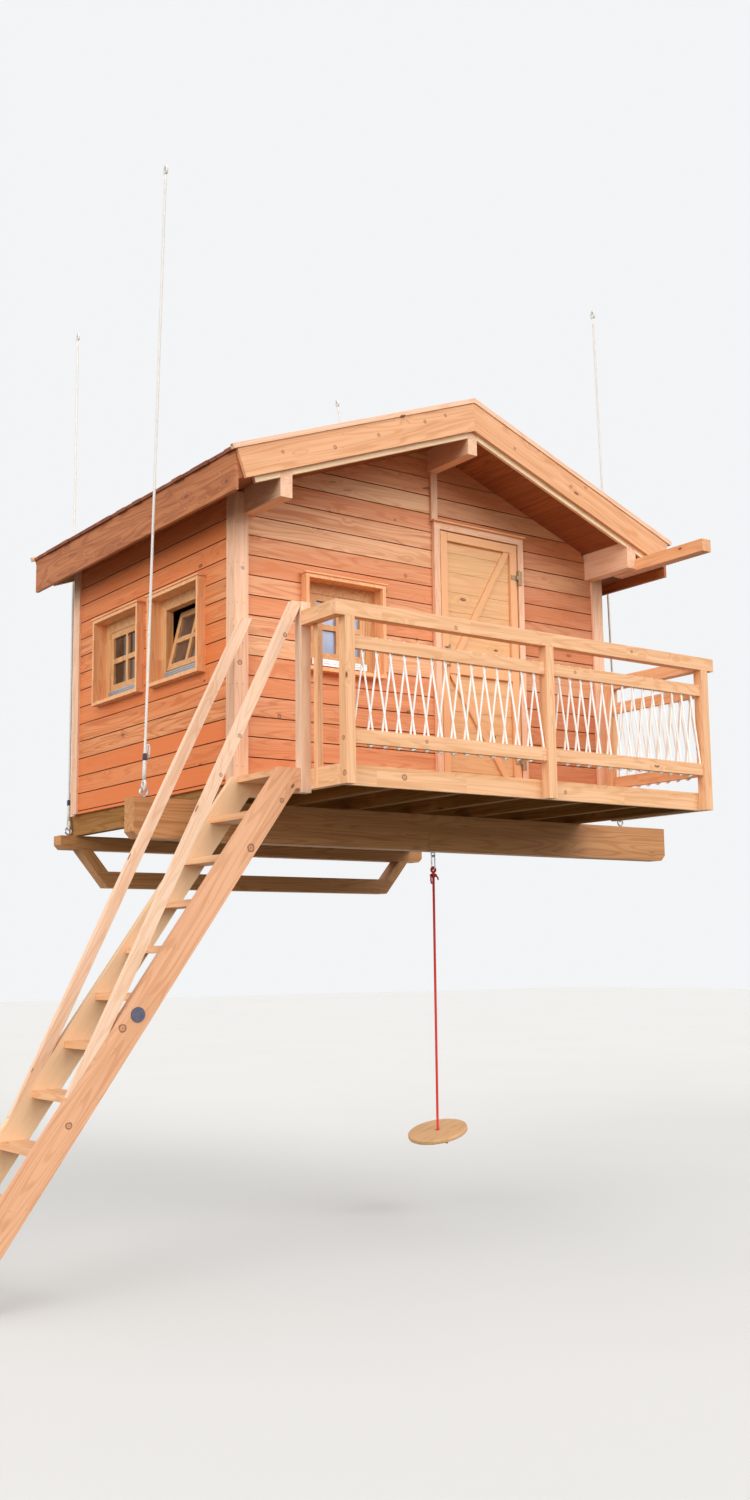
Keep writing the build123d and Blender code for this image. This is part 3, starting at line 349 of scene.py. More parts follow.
def wood_grain_group():
    """Wood: fibres and streaks are noise drawn out along X, year rings are the level lines of a
    slow noise, which bend round the knots, and knots are the middles of random cells. Tone is
    a number from 0 to 1 that tells boards apart and turns the redder ones to Deep."""
    if "Wood grain" in bpy.data.node_groups:
        return bpy.data.node_groups["Wood grain"]
    flat, number, place = "NodeSocketColor", "NodeSocketFloat", "NodeSocketVector"
    tree, start, end = new_group(
        "Wood grain",
        [
            ("Place", place, None),
            ("Tone", number, 0.5),
            ("Pale", flat, (0.7, 0.4, 0.2, 1)),
            ("Dark", flat, (0.5, 0.25, 0.1, 1)),
            ("Deep", flat, (0.5, 0.2, 0.1, 1)),
            ("Knot", flat, (0.1, 0.04, 0.02, 1)),
            ("Knots", number, 0.5),
            ("Tone strength", number, 0.6),
        ],
        [("Color", flat), ("Roughness", number), ("Height", number)],
    )
    tone = start.outputs["Tone"]
    shift = tree.join(
        tree.maths("MULTIPLY", tone, 31.7),
        tree.maths("MULTIPLY", tone, 17.3),
        tree.maths("MULTIPLY", tone, 23.9),
    )
    where = tree.vector("ADD", start.outputs["Place"], shift)
    cells = tree.add(
        "ShaderNodeTexVoronoi",
        {"Vector": tree.vector("MULTIPLY", where, (3.6, 8.0, 8.0)), "Scale": 1.0},
    )
    luck = tree.split(cells.outputs["Color"])[0]
    kept = tree.maths("LESS_THAN", luck, start.outputs["Knots"])
    away = cells.outputs["Distance"]
    near = tree.maths("MULTIPLY", tree.span(away, 0.36, 0.08), kept)
    rim = tree.maths(
        "MULTIPLY", tree.span(away, 0.105, 0.075), tree.span(away, 0.0, 0.07, 0.45)
    )
    core = tree.maths("MULTIPLY", rim, kept)
    slow = tree.noise(tree.vector("MULTIPLY", where, (0.55, 7.5, 7.5)), 1.0, 1.5)
    bent = tree.maths("ADD", slow, tree.maths("MULTIPLY", near, 0.09))
    rings = tree.maths("SINE", tree.maths("MULTIPLY", bent, 95.0))
    rings = tree.span(rings, 0.1, 1.0)
    streaks = tree.noise(tree.vector("MULTIPLY", where, (0.9, 26.0, 26.0)), 1.0, 3.0, 0.6)
    streaks = tree.span(streaks, 0.38, 0.66)
    fibres = tree.noise(tree.vector("MULTIPLY", where, (7.0, 330.0, 330.0)), 1.0, 2.0)
    patches = tree.noise(tree.vector("MULTIPLY", where, (0.7, 3.0, 3.0)), 1.0, 2.0)
    amount = tree.maths("MULTIPLY", streaks, 0.55)
    amount = tree.maths("MULTIPLY_ADD", rings, 0.50, amount)
    amount = tree.maths("MULTIPLY_ADD", fibres, 0.22, amount)
    amount = tree.maths("MULTIPLY_ADD", near, 0.30, amount, clamp=True)
    body = tree.blend(amount, start.outputs["Pale"], start.outputs["Dark"])
    redness = tree.maths("MULTIPLY", tone, start.outputs["Tone strength"])
    redness = tree.maths("MULTIPLY", redness, tree.maths("ADD", patches, 0.45), clamp=True)
    body = tree.blend(redness, body, start.outputs["Deep"])
    body = tree.blend(core, body, start.outputs["Knot"])
    tree.put(end.inputs["Color"], body)
    rough = tree.maths("MULTIPLY_ADD", fibres, 0.18, 0.50)
    tree.put(end.inputs["Roughness"], tree.maths("MULTIPLY_ADD", rings, 0.06, rough))
    high = tree.maths("MULTIPLY_ADD", rings, 0.5, fibres)
    tree.put(end.inputs["Height"], tree.maths("MULTIPLY_ADD", core, 0.6, high))
    return tree.tree


def edge_wear_and_highlight_group():
    """Rounded edges: the normal that a small bevel would have, and how far it turns there; the
    woods and metals paint that mask paler, as wear and painted highlight.
    """
    if "Edge wear" in bpy.data.node_groups:
        return bpy.data.node_groups["Edge wear"]
    tree, start, end = new_group(
        "Edge wear",
        [("Radius", "NodeSocketFloat", 0.003), ("Amount", "NodeSocketFloat", 0.5)],
        [("Mask", "NodeSocketFloat"), ("Normal", "NodeSocketVector")],
    )
    rounded = tree.add("ShaderNodeBevel", {"Radius": start.outputs["Radius"]}, samples=3)
    plain = tree.add("ShaderNodeNewGeometry")
    turn = tree.add("ShaderNodeVectorMath", operation="DOT_PRODUCT")
    tree.put(turn.inputs[0], rounded.outputs[0])
    tree.put(turn.inputs[1], plain.outputs["Normal"])
    mask = tree.span(turn.outputs["Value"], 0.995, 0.86)
    rough = tree.noise(tree.where(), 22.0, 3.0)
    mask = tree.maths("MULTIPLY", mask, tree.span(rough, 0.35, 0.6))
    mask = tree.maths("MULTIPLY", mask, start.outputs["Amount"], clamp=True)
    tree.put(end.inputs["Mask"], mask)
    tree.put(end.inputs["Normal"], rounded.outputs[0])
    return tree.tree


def knot_mark_group():
    """One knot at a given place: a dark ring, and a paler heart, by the distance to its middle
    in radii, which a slow noise bends a little."""
    if "Knot mark" in bpy.data.node_groups:
        return bpy.data.node_groups["Knot mark"]
    tree, start, end = new_group(
        "Knot mark",
        [
            ("Place", "NodeSocketVector", None),
            ("Middle", "NodeSocketVector", None),
            ("Radius", "NodeSocketFloat", 0.02),
        ],
        [("Mask", "NodeSocketFloat")],
    )
    offset = tree.vector("SUBTRACT", start.outputs["Place"], start.outputs["Middle"])
    far = tree.add("ShaderNodeVectorMath", {0: offset}, operation="LENGTH").outputs["Value"]
    bend = tree.noise(start.outputs["Place"], 45.0)
    radii = tree.maths("DIVIDE", far, start.outputs["Radius"])
    radii = tree.maths("MULTIPLY_ADD", bend, 0.5, tree.maths("SUBTRACT", radii, 0.25))
    ring = tree.maths("MULTIPLY", tree.span(radii, 1.1, 0.85), tree.span(radii, 0.5, 0.75))
    heart = tree.span(radii, 0.55, 0.15, 0.0, 0.6)
    body = tree.span(radii, 1.0, 0.8, 0.0, 0.3)
    mask = tree.maths("MAXIMUM", tree.maths("MAXIMUM", ring, heart), body)
    tree.put(end.inputs["Mask"], mask)
    return tree.tree


def with_knots(spots):
    """A step for finish_wood that draws knots at given places; spots are (x, y, z, radius)."""

    def draw(tree, paint):
        where = tree.where()
        for x, y, z, radius in spots:
            mark = tree.add("ShaderNodeGroup", node_tree=knot_mark_group())
            tree.put(mark.inputs["Place"], where)
            tree.put(mark.inputs["Middle"], (x, y, z))
            tree.put(mark.inputs["Radius"], radius)
            strength = tree.maths("MULTIPLY", mark.outputs["Mask"], 0.88)
            paint = tree.blend(strength, paint, tuple(colours().knot))
        return paint

    return draw


def painted_light_and_shade_past(axis, limit, tint, amount, then):
    """A step for finish_wood that paints light or shade onto the wood, as a tint past a limit
    along an axis, before another step."""

    def draw(tree, paint):
        where = tree.split(tree.where())["XYZ".index(axis)]
        past = tree.maths("MULTIPLY", tree.maths("GREATER_THAN", where, limit), amount)
        return then(tree, tree.blend(past, paint, tint))

    return draw


def rope_lay_group():
    """Laid rope: three strands wind along the rope, as stripes slanted across its UV map, each
    painted darker towards the grooves between them as painted shade.
    """
    if "Rope lay" in bpy.data.node_groups:
        return bpy.data.node_groups["Rope lay"]
    tree, start, end = new_group(
        "Rope lay",
        [
            ("Color", "NodeSocketColor", (0.8, 0.78, 0.74, 1)),
            ("Lay", "NodeSocketFloat", 0.05),
        ],
        [("Color", "NodeSocketColor"), ("Height", "NodeSocketFloat")],
    )
    uv = tree.split(tree.add("ShaderNodeUVMap", uv_map="board").outputs[0])
    turns = tree.maths("DIVIDE", uv[0], start.outputs["Lay"])
    phase = tree.maths("MULTIPLY_ADD", uv[1], 3.0, tree.maths("MULTIPLY", turns, 3.0))
    wave = tree.maths("ABSOLUTE", tree.maths("SINE", tree.maths("MULTIPLY", phase, pi)))
    yarn = tree.maths("SINE", tree.maths("MULTIPLY", phase, 34.0))
    dust = tree.noise(tree.where(), 40.0, 3.0)
    # Painted shade: each strand darkens towards the grooves between strands; dust varies it a
    # little.
    shade = tree.maths("MULTIPLY_ADD", tree.span(wave, 0.0, 0.5), 0.25, 0.80)
    shade = tree.maths("MULTIPLY", shade, tree.maths("MULTIPLY_ADD", dust, 0.24, 0.88))
    grey = tree.add("ShaderNodeCombineColor", {0: shade, 1: shade, 2: shade}).outputs[0]
    tree.put(
        end.inputs["Color"], tree.blend(1.0, start.outputs["Color"], grey, "MULTIPLY")
    )
    tree.put(end.inputs["Height"], tree.maths("MULTIPLY_ADD", yarn, 0.06, wave))
    return tree.tree


def new_material(name):
    """A material with only its output and a Principled shader; returns helper and shader."""
    material = bpy.data.materials.new(name)
    material.use_nodes = True
    material.node_tree.nodes.clear()
    tree = Tree(material.node_tree)
    shader = tree.add("ShaderNodeBsdfPrincipled")
    tree.add("ShaderNodeOutputMaterial", {"Surface": shader.outputs[0]})
    return material, tree, shader


def finish_wood(
    tree, shader, place, tone, pale, dark, deep, knots, strength, wear=WORN_AND_LIT, extra=None
):
    """Joins the grain and the worn edges to the shader; the edges are painted paler, partly wear
    and partly painted highlight. knots is the share of cells with a knot, and extra a step (tree,
    paint) that changes the colour before the edges are painted."""
    grain = tree.add("ShaderNodeGroup", node_tree=wood_grain_group())
    for key, value in (
        ("Place", place), ("Tone", tone), ("Pale", pale), ("Dark", dark), ("Deep", deep),
        ("Knot", tuple(colours().knot)), ("Knots", knots), ("Tone strength", strength),
    ):
        tree.put(grain.inputs[key], value)
    edge = tree.add("ShaderNodeGroup", node_tree=edge_wear_and_highlight_group())
    tree.put(edge.inputs["Amount"], wear)
    paint = grain.outputs["Color"]
    if extra:
        paint = extra(tree, paint)
    # Painted highlight: the rounded edges take a paler copy of the wood, partly wear and partly
    # light that they catch.
    wear_and_highlight_paint = tuple(min(1.0, c * 1.12) for c in pale)
    paint = tree.blend(edge.outputs["Mask"], paint, wear_and_highlight_paint)
    bump = tree.add(
        "ShaderNodeBump",
        {"Height": grain.outputs["Height"], "Distance": 0.0012, "Strength": 0.35,
         "Normal": edge.outputs["Normal"]},
    )
    tree.put(shader.inputs["Base Color"], paint)
    tree.put(shader.inputs["Roughness"], grain.outputs["Roughness"])
    tree.put(shader.inputs["Normal"], bump.outputs[0])


def run_place(tree, where, run):
    """The place with X along the timber: run is X, Y or Z, XY for level pieces on any wall, an
    angle in the XZ plane, or ("gable", angle) for the same on both sides of the middle."""
    x, y, z = tree.split(where)
    if run == "X":
        return tree.join(x, y, z)
    if run == "Y":
        return tree.join(y, x, z)
    if run == "Z":
        return tree.join(z, x, y)
    if run == "XY":
        return tree.join(tree.maths("ADD", x, y), z, tree.maths("SUBTRACT", x, y))
    if isinstance(run, tuple):
        x = tree.maths("ABSOLUTE", x)
        run = run[1]
    along = tree.maths(
        "ADD", tree.maths("MULTIPLY", x, cos(run)), tree.maths("MULTIPLY", z, sin(run))
    )
    over = tree.maths(
        "SUBTRACT", tree.maths("MULTIPLY", z, cos(run)), tree.maths("MULTIPLY", x, sin(run))
    )
    return tree.join(along, y, over)


def cell_tone(tree, where, cells):
    """A random number for each cell of space; cells are (pitch, start) on X, Y and Z."""
    parts = []
    for value, (pitch, start) in zip(tree.split(where), cells):
        parts.append(
            tree.maths("FLOOR", tree.maths("DIVIDE", tree.maths("SUBTRACT", value, start), pitch))
            if pitch
            else 0.0
        )
    noise = tree.add("ShaderNodeTexWhiteNoise", {"Vector": tree.join(*parts)})
    return noise.outputs["Value"]


def frame_wood(name, run, pale, dark, cells, other=None, extra=None, wear=WORN_AND_LIT):
    """Wood for a frame node, with its grain along run and a tone for each of its cells. other
    is (axis, low, high, run): outside that band the grain turns."""
    material, tree, shader = new_material(name)
    where = tree.where()
    place = run_place(tree, where, run)
    if other:
        axis, low, high, second = other
        value = tree.split(where)["XYZ".index(axis)]
        past = tree.maths(
            "MAXIMUM", tree.maths("LESS_THAN", value, low),
            tree.maths("GREATER_THAN", value, high),
        )
        place = tree.choose(past, place, run_place(tree, where, second))
    tone = cell_tone(tree, where, cells)
    finish_wood(
        tree, shader, place, tone, pale, dark, deep=dark, knots=0.5, strength=0.35, wear=wear,
        extra=extra,
    )
    return material


def board_wood(
    name, pale, dark, deep, blond=None, knots=0.4, strength=0.8, joint=(0.15, 0.04, 0.012),
    step=with_knots(()),
):
    """Wood for new boards: it follows their UV map, tone, joint and end attributes. The boards
    of low tone turn blond, joints are painted dark as shade in the grooves, and cut ends show
    rings."""
    material, tree, shader = new_material(name)
    uv = tree.split(tree.add("ShaderNodeUVMap", uv_map="board").outputs[0])
    tone = tree.add("ShaderNodeAttribute", attribute_name="tone").outputs["Fac"]
    place = tree.join(uv[0], uv[1], tree.maths("MULTIPLY", tone, 3.0))

    def joints_and_ends(tree, paint):
        if blond:
            paint = tree.blend(tree.span(tone, 0.34, 0.0, 0.0, 0.55), paint, blond)
        paint = step(tree, paint)
        groove_shade_mask = tree.add("ShaderNodeAttribute", attribute_name="joint").outputs["Fac"]
        end_mask = tree.add("ShaderNodeAttribute", attribute_name="end").outputs["Fac"]
        rings = tree.noise(tree.vector("MULTIPLY", place, (60.0, 60.0, 1.0)), 1.0, 3.0)
        grain_end = tree.blend(tree.span(rings, 0.35, 0.65), pale, dark)
        paint = tree.blend(tree.maths("MULTIPLY", end_mask, 0.8), paint, grain_end)
        # Painted shade: the joint faces in the grooves are painted dark.
        return tree.blend(tree.maths("MULTIPLY", groove_shade_mask, 0.85), paint, joint)

    finish_wood(
        tree, shader, place, tone, pale, dark, deep, knots, strength, extra=joints_and_ends
    )
    return material


def rope_material(name, paint, lay):
    """Laid rope with fine fibres; lay is the length of one turn of a strand in metres."""
    material, tree, shader = new_material(name)
    group = tree.add("ShaderNodeGroup", node_tree=rope_lay_group())
    tree.put(group.inputs["Color"], paint)
    tree.put(group.inputs["Lay"], lay)
    where = tree.where()
    fuzz = tree.noise(where, 900.0, 2.0)
    high = tree.maths("MULTIPLY_ADD", fuzz, 0.25, group.outputs["Height"])
    bump = tree.add("ShaderNodeBump", {"Height": high, "Distance": 0.003, "Strength": 0.7})
    tree.put(shader.inputs["Base Color"], group.outputs["Color"])
    tree.put(shader.inputs["Roughness"], tree.maths("MULTIPLY_ADD", fuzz, 0.15, 0.72))
    tree.put(shader.inputs["Normal"], bump.outputs[0])
    shader.inputs["Sheen Weight"].default_value = 0.25
    return material


def metal_material(name, paint, rough, spangle, metallic=0.85, side=1.0):
    """Metal: spangles vary its shade and gloss, a fine noise gives it tooth, and its edges are
    painted paler as wear and painted highlight. side darkens what lies behind the front windows, as
    painted shade."""
    material, tree, shader = new_material(name)
    where = tree.where()
    cells = tree.add("ShaderNodeTexVoronoi", {"Vector": where, "Scale": spangle})
    shade = tree.split(cells.outputs["Color"])[0]
    fine = tree.noise(where, 600.0, 3.0)
    edge = tree.add("ShaderNodeGroup", node_tree=edge_wear_and_highlight_group())
    tree.put(edge.inputs["Radius"], 0.0015)
    tree.put(edge.inputs["Amount"], 0.5)
    darker = tuple(c * 0.72 for c in paint)
    body = tree.blend(shade, paint, darker)
    # Painted shade: bars behind the front windows, on the side walls, are darkened.
    if side < 1.0:
        behind = tree.maths("GREATER_THAN", tree.split(where)[1], FRONT_GLASS)
        body = tree.blend(behind, body, tuple(c * side for c in paint))
    # Painted highlight: the rounded edges turn paler, as light that they catch.
    wear_and_highlight_paint = tuple(min(1.0, c * 1.3) for c in paint)
    tree.put(shader.inputs["Base Color"], tree.blend(edge.outputs["Mask"], body, wear_and_highlight_paint))
    tree.put(shader.inputs["Roughness"], tree.maths("MULTIPLY_ADD", shade, 0.16, rough))
    shader.inputs["Metallic"].default_value = metallic
    bump = tree.add(
        "ShaderNodeBump",
        {"Height": fine, "Distance": 0.0003, "Strength": 0.4, "Normal": edge.outputs["Normal"]},
    )
    tree.put(shader.inputs["Normal"], bump.outputs[0])
    return material


def glass_material(name):
    """Window glass: painted reflection of a pale blue sky in the front panes, painted shade of a
    dark room with paler reflected streaks in the side panes, and faint smears in its gloss."""
    material, tree, shader = new_material(name)
    where = tree.where()
    smear_and_reflection_streak = tree.noise(tree.vector("MULTIPLY", where, (5.0, 5.0, 2.0)), 1.0, 3.0)
    front = tree.maths("LESS_THAN", tree.split(where)[1], FRONT_GLASS)
    # Painted reflection: the front panes' pale blue stands in for the sky that they mirror.
    painted_sky_reflection = tree.blend(smear_and_reflection_streak, (0.60, 0.72, 1.00), (0.38, 0.46, 0.66))
    # Painted shade and reflection: the side panes' dark brown stands in for the dim room behind
    # them, streaked paler by reflections.
    painted_dark_interior = tree.blend(tree.span(smear_and_reflection_streak, 0.35, 0.65), (0.24, 0.14, 0.10), (0.07, 0.035, 0.02))
    tree.put(shader.inputs["Base Color"], tree.blend(front, painted_dark_interior, painted_sky_reflection))
    tree.put(shader.inputs["Roughness"], tree.maths("MULTIPLY_ADD", smear_and_reflection_streak, 0.09, 0.01))
    wavy = tree.noise(where, 6.0, 1.0)
    bump = tree.add("ShaderNodeBump", {"Height": wavy, "Distance": 0.002, "Strength": 0.25})
    tree.put(shader.inputs["Normal"], bump.outputs[0])
    shader.inputs["Transmission Weight"].default_value = 0.4
    shader.inputs["IOR"].default_value = 1.5
    return material


# Mesh helpers


class Boards:
    """Collects closed bars, each a closed profile carried along a path, in one mesh. tones,
    joints and ends hold a number for each face, which the woods read."""

    def __init__(self, seed):
        self.random = np.random.default_rng(seed)
        self.vertices, self.faces, self.uvs = [], [], []
        self.tones, self.joints, self.ends = [], [], []
        self.count = 0

    def bar(self, rings, tone=None, around=None, along=None, joint_sides=(), shift=None):
        """rings (rings, points, 3): each point is joined to its like in the next ring and the
        two end rings are filled. around and along are the UV places of points and rings."""
        rings = np.asarray(rings, float)
        middles = rings.mean(1)
        first = rings[0] - middles[0]
        spin = np.cross(first, np.roll(first, -1, axis=0)).sum(0)
        if np.dot(spin, middles[1] - middles[0]) < 0:
            rings = rings[:, ::-1]
            if around is not None:
                around = np.asarray(around)[::-1]
            points = rings.shape[1]
            joint_sides = tuple((points - 2 - side) % points for side in joint_sides)
        count, points = rings.shape[:2]
        if along is None:
            steps = np.linalg.norm(np.diff(middles, axis=0), axis=1)
            along = np.concatenate([[0.0], np.cumsum(steps)])
        if around is None:
            edges = np.linalg.norm(rings[0] - np.roll(rings[0], -1, axis=0), axis=1)
            around = np.concatenate([[0.0], np.cumsum(edges)])
        elif len(around) == points:
            around = np.concatenate([around, around[:1]])
        if tone is None:
            tone = self.random.random()
        if shift is None:
            shift = self.random.random(2) * GRAIN_SPREAD
        ids = np.arange(count * points).reshape(count, points) + self.count
        turned = np.roll(ids, -1, axis=1)
        quads = np.stack([ids[:-1], turned[:-1], turned[1:], ids[1:]], -1).reshape(-1, 4)
        row, column = np.meshgrid(np.arange(count - 1), np.arange(points), indexing="ij")
        along = np.asarray(along) + shift[0]
        around = np.asarray(around) + shift[1]
        u = np.stack([along[row], along[row], along[row + 1], along[row + 1]], -1)
        v = np.stack(
            [around[column], around[column + 1], around[column + 1], around[column]], -1
        )
        self.uvs.append(np.stack([u, v], -1).reshape(-1, 2))
        self.faces.extend(quads.tolist())
        joints = np.isin(column.reshape(-1), joint_sides).astype(float)
        for ring_index, order in ((0, slice(None, None, -1)), (-1, slice(None))):
            ring = rings[ring_index][order]
            self.faces.append(ids[ring_index][order].tolist())
            side = ring[1] - ring[0]
            side = side / max(np.linalg.norm(side), 1e-9)
            normal = np.cross(ring[1] - ring[0], ring[2] - ring[1])
            normal = normal / max(np.linalg.norm(normal), 1e-9)
            offset = ring - ring[0]
            self.uvs.append(
                np.stack([offset @ side, offset @ np.cross(normal, side)], -1) + shift
            )
        self.vertices.append(rings.reshape(-1, 3))
        self.tones.append(np.full(len(quads) + 2, tone))
        self.joints.append(np.concatenate([joints, [0.0, 0.0]]))
        self.ends.append(np.concatenate([np.zeros(len(quads)), [1.0, 1.0]]))
        self.count += count * points

    def hoop(self, rings):
        """A closed profile carried round a closed path: the last ring joins the first one."""
        rings = np.asarray(rings, float)
        count, points = rings.shape[:2]
        ids = np.arange(count * points).reshape(count, points) + self.count
        beside, ahead = np.roll(ids, -1, axis=1), np.roll(ids, -1, axis=0)
        quads = np.stack([ids, beside, np.roll(beside, -1, axis=0), ahead], -1).reshape(-1, 4)
        corners = rings.reshape(-1, 3)[quads - self.count]
        volume = np.einsum(
            "ij,ij->i", corners[:, 0], np.cross(corners[:, 1], corners[:, 2])
            + np.cross(corners[:, 2], corners[:, 3]),
        ).sum()
        if volume < 0:
            quads = quads[:, ::-1]
        self.faces.extend(quads.tolist())
        self.uvs.append(np.zeros((len(quads) * 4, 2)))
        self.vertices.append(rings.reshape(-1, 3))
        for values in (self.tones, self.joints, self.ends):
            values.append(np.zeros(len(quads)))
        self.count += count * points

    def block(self, low, high, run, tone=None, arris=0.003):
        """A planed board between two corners with its four long edges taken off."""
        low, high = np.asarray(low, float), np.asarray(high, float)
        axis = "XYZ".index(run)
        across, over = [index for index in range(3) if index != axis]
        a0, a1, b0, b1 = low[across], high[across], low[over], high[over]
        c = arris
        outline = np.array([
            (a0 + c, b0), (a1 - c, b0), (a1, b0 + c), (a1, b1 - c),
            (a1 - c, b1), (a0 + c, b1), (a0, b1 - c), (a0, b0 + c),
        ])
        rings = np.zeros((2, 8, 3))
        rings[:, :, across] = outline[:, 0]
        rings[:, :, over] = outline[:, 1]
        rings[0, :, axis] = low[axis]
        rings[1, :, axis] = high[axis]
        self.bar(rings, tone)

    def build(self, name, body, slot, material, replaces=(), smooth=False):
        """Puts everything into one mesh object that rides on a body."""
        mesh = bpy.data.meshes.new(name)
        vertices = np.concatenate(self.vertices)
        mesh.from_pydata(vertices.tolist(), [], self.faces)
        layer = mesh.uv_layers.new(name="board")
        layer.data.foreach_set("uv", np.concatenate(self.uvs).astype(np.float32).reshape(-1))
        for label, values in (("tone", self.tones), ("joint", self.joints), ("end", self.ends)):
            attribute = mesh.attributes.new(label, "FLOAT", "FACE")
            attribute.data.foreach_set("value", np.concatenate(values).astype(np.float32))
        if smooth:
            mesh.polygons.foreach_set("use_smooth", [True] * len(mesh.polygons))
        mesh.update()
        return place(name, mesh, body, slot, material, replaces)


def place(name, mesh, body, slot, material, replaces=()):
    """Makes the object of a mesh, gives it its material and hangs it on its body."""
    mesh.materials.append(material)
    piece = bpy.data.objects.new(name, mesh)
    bpy.context.scene.collection.objects.link(piece)
    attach(piece, body)
    if replaces:
        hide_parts(*replaces)
    return piece


def tube_rings(path, radius, sides, reference):
    """Circles round each point of a path, square to its direction. reference is a direction,
    or one for each point, that is never along the path."""
    path = np.asarray(path, float)
    run = np.gradient(path, axis=0)
    run /= np.linalg.norm(run, axis=1, keepdims=True)
    side = np.cross(run, np.broadcast_to(reference, path.shape))
    side /= np.linalg.norm(side, axis=1, keepdims=True)
    other = np.cross(run, side)
    angle = np.linspace(0, 2 * pi, sides, endpoint=False)
    circle = side[:, None] * np.cos(angle)[:, None] + other[:, None] * np.sin(angle)[:, None]
    return path[:, None] + circle * np.broadcast_to(radius, len(path))[:, None, None]


def rope(boards, path, radius, sides=8, reference=(0, 1, 0)):
    """A rope along a path; around its UV map runs from 0 to 1."""
    boards.bar(
        tube_rings(path, radius, sides, reference),
        around=np.linspace(0, 1, sides + 1),
        shift=(0.0, 0.0),
    )


def clad(boards, spread, low, high, edges, holes, seed, drop=0.0, warm=(0.0, 1.0)):
    """Boards laid level up a wall: each is an eight-sided outline, the wall's thickness deep,
    drawn in by the groove at its joints and carried from one end of the wall to the other.
    spread(along, depth, height) gives the place in the house, edges(height) the two ends of
    the wall there, and holes are (start, end, low, high). drop lowers the joints. warm is the
    range of the boards' tones, and the lowest boards are the reddest, as painted shade near the
    foot of the wall."""
    pitch, start = sizes().board_pitch, sizes().board_start - drop
    groove, deep = sizes().groove_width / 2, sizes().groove_depth
    touch, thinnest, shortest = 1e-6, 0.001, 0.004
    random = np.random.default_rng(seed)
    index = int(np.floor((low - start) / pitch))
    cuts = sorted({round(value, 6) for hole in holes for value in hole[2:]})
    while start + index * pitch < high - touch:
        floor, roof = start + index * pitch, start + (index + 1) * pitch
        # Painted shade: the lower a board lies under this reach, the nearer its tone is pushed to
        # the reddest.
        foot_shade = float(np.clip(1.0 - (floor - low) / FOOT_SHADE_REACH, 0.0, 1.0))
        tone = warm[0] + (warm[1] - warm[0]) * max(random.random(), foot_shade)
        shift = random.random(2) * GRAIN_SPREAD
        levels = [max(floor, low)]
        first, last = levels[0] + thinnest, min(roof, high) - thinnest
        levels += [cut for cut in cuts if first < cut < last]
        levels.append(min(roof, high))
        for bottom, top in zip(levels, levels[1:]):
            foot_joint, head_joint = abs(bottom - floor) < touch, abs(top - roof) < touch
            g0, d0 = (groove, deep) if foot_joint else (SEAM, SEAM)
            g1, d1 = (groove, deep) if head_joint else (SEAM, SEAM)
            outline = np.array([
                (0, bottom + g0), (0, top - g1), (d1, top - g1 * 0.4), (WALL - d1, top - g1 * 0.4),
                (WALL, top - g1), (WALL, bottom + g0), (WALL - d0, bottom + g0 * 0.4),
                (d0, bottom + g0 * 0.4),
            ])
            middle = (bottom + top) / 2
            blocked = sorted(hole[:2] for hole in holes if hole[2] < middle < hole[3])
            left, right = edges(outline[:, 1])
            spans, begin = [], left
            for hole_start, hole_end in blocked:
                spans.append((begin, np.minimum(right, hole_start)))
                begin = np.maximum(left, hole_end)
            spans.append((begin, right))
            for begin, finish in spans:
                if (finish - begin).max() < shortest:
                    continue
                finish = np.maximum(finish, begin + 0.0005)
                rings = np.stack(
                    [spread(edge, outline[:, 0], outline[:, 1]) for edge in (begin, finish)]
                )
                around = outline[:, 1] - floor + np.where(outline[:, 0] > WALL / 2, 0.4, 0.0)
                boards.bar(
                    rings, tone=tone, around=around, along=(begin.mean(), finish.mean()),
                    joint_sides=(1, 3, 5, 7) if foot_joint and head_joint else (),
                    shift=shift,
                )
        index += 1


def spokes(normal, reference, count):
    """Directions all round a normal, square to it; reference is never along the normal."""
    first = np.cross(normal, reference)
    first /= np.linalg.norm(first)
    angle = np.linspace(0, 2 * pi, count, endpoint=False)
    return np.outer(np.cos(angle), first) + np.outer(np.sin(angle), np.cross(normal, first))


# Operators, one for each group of pieces


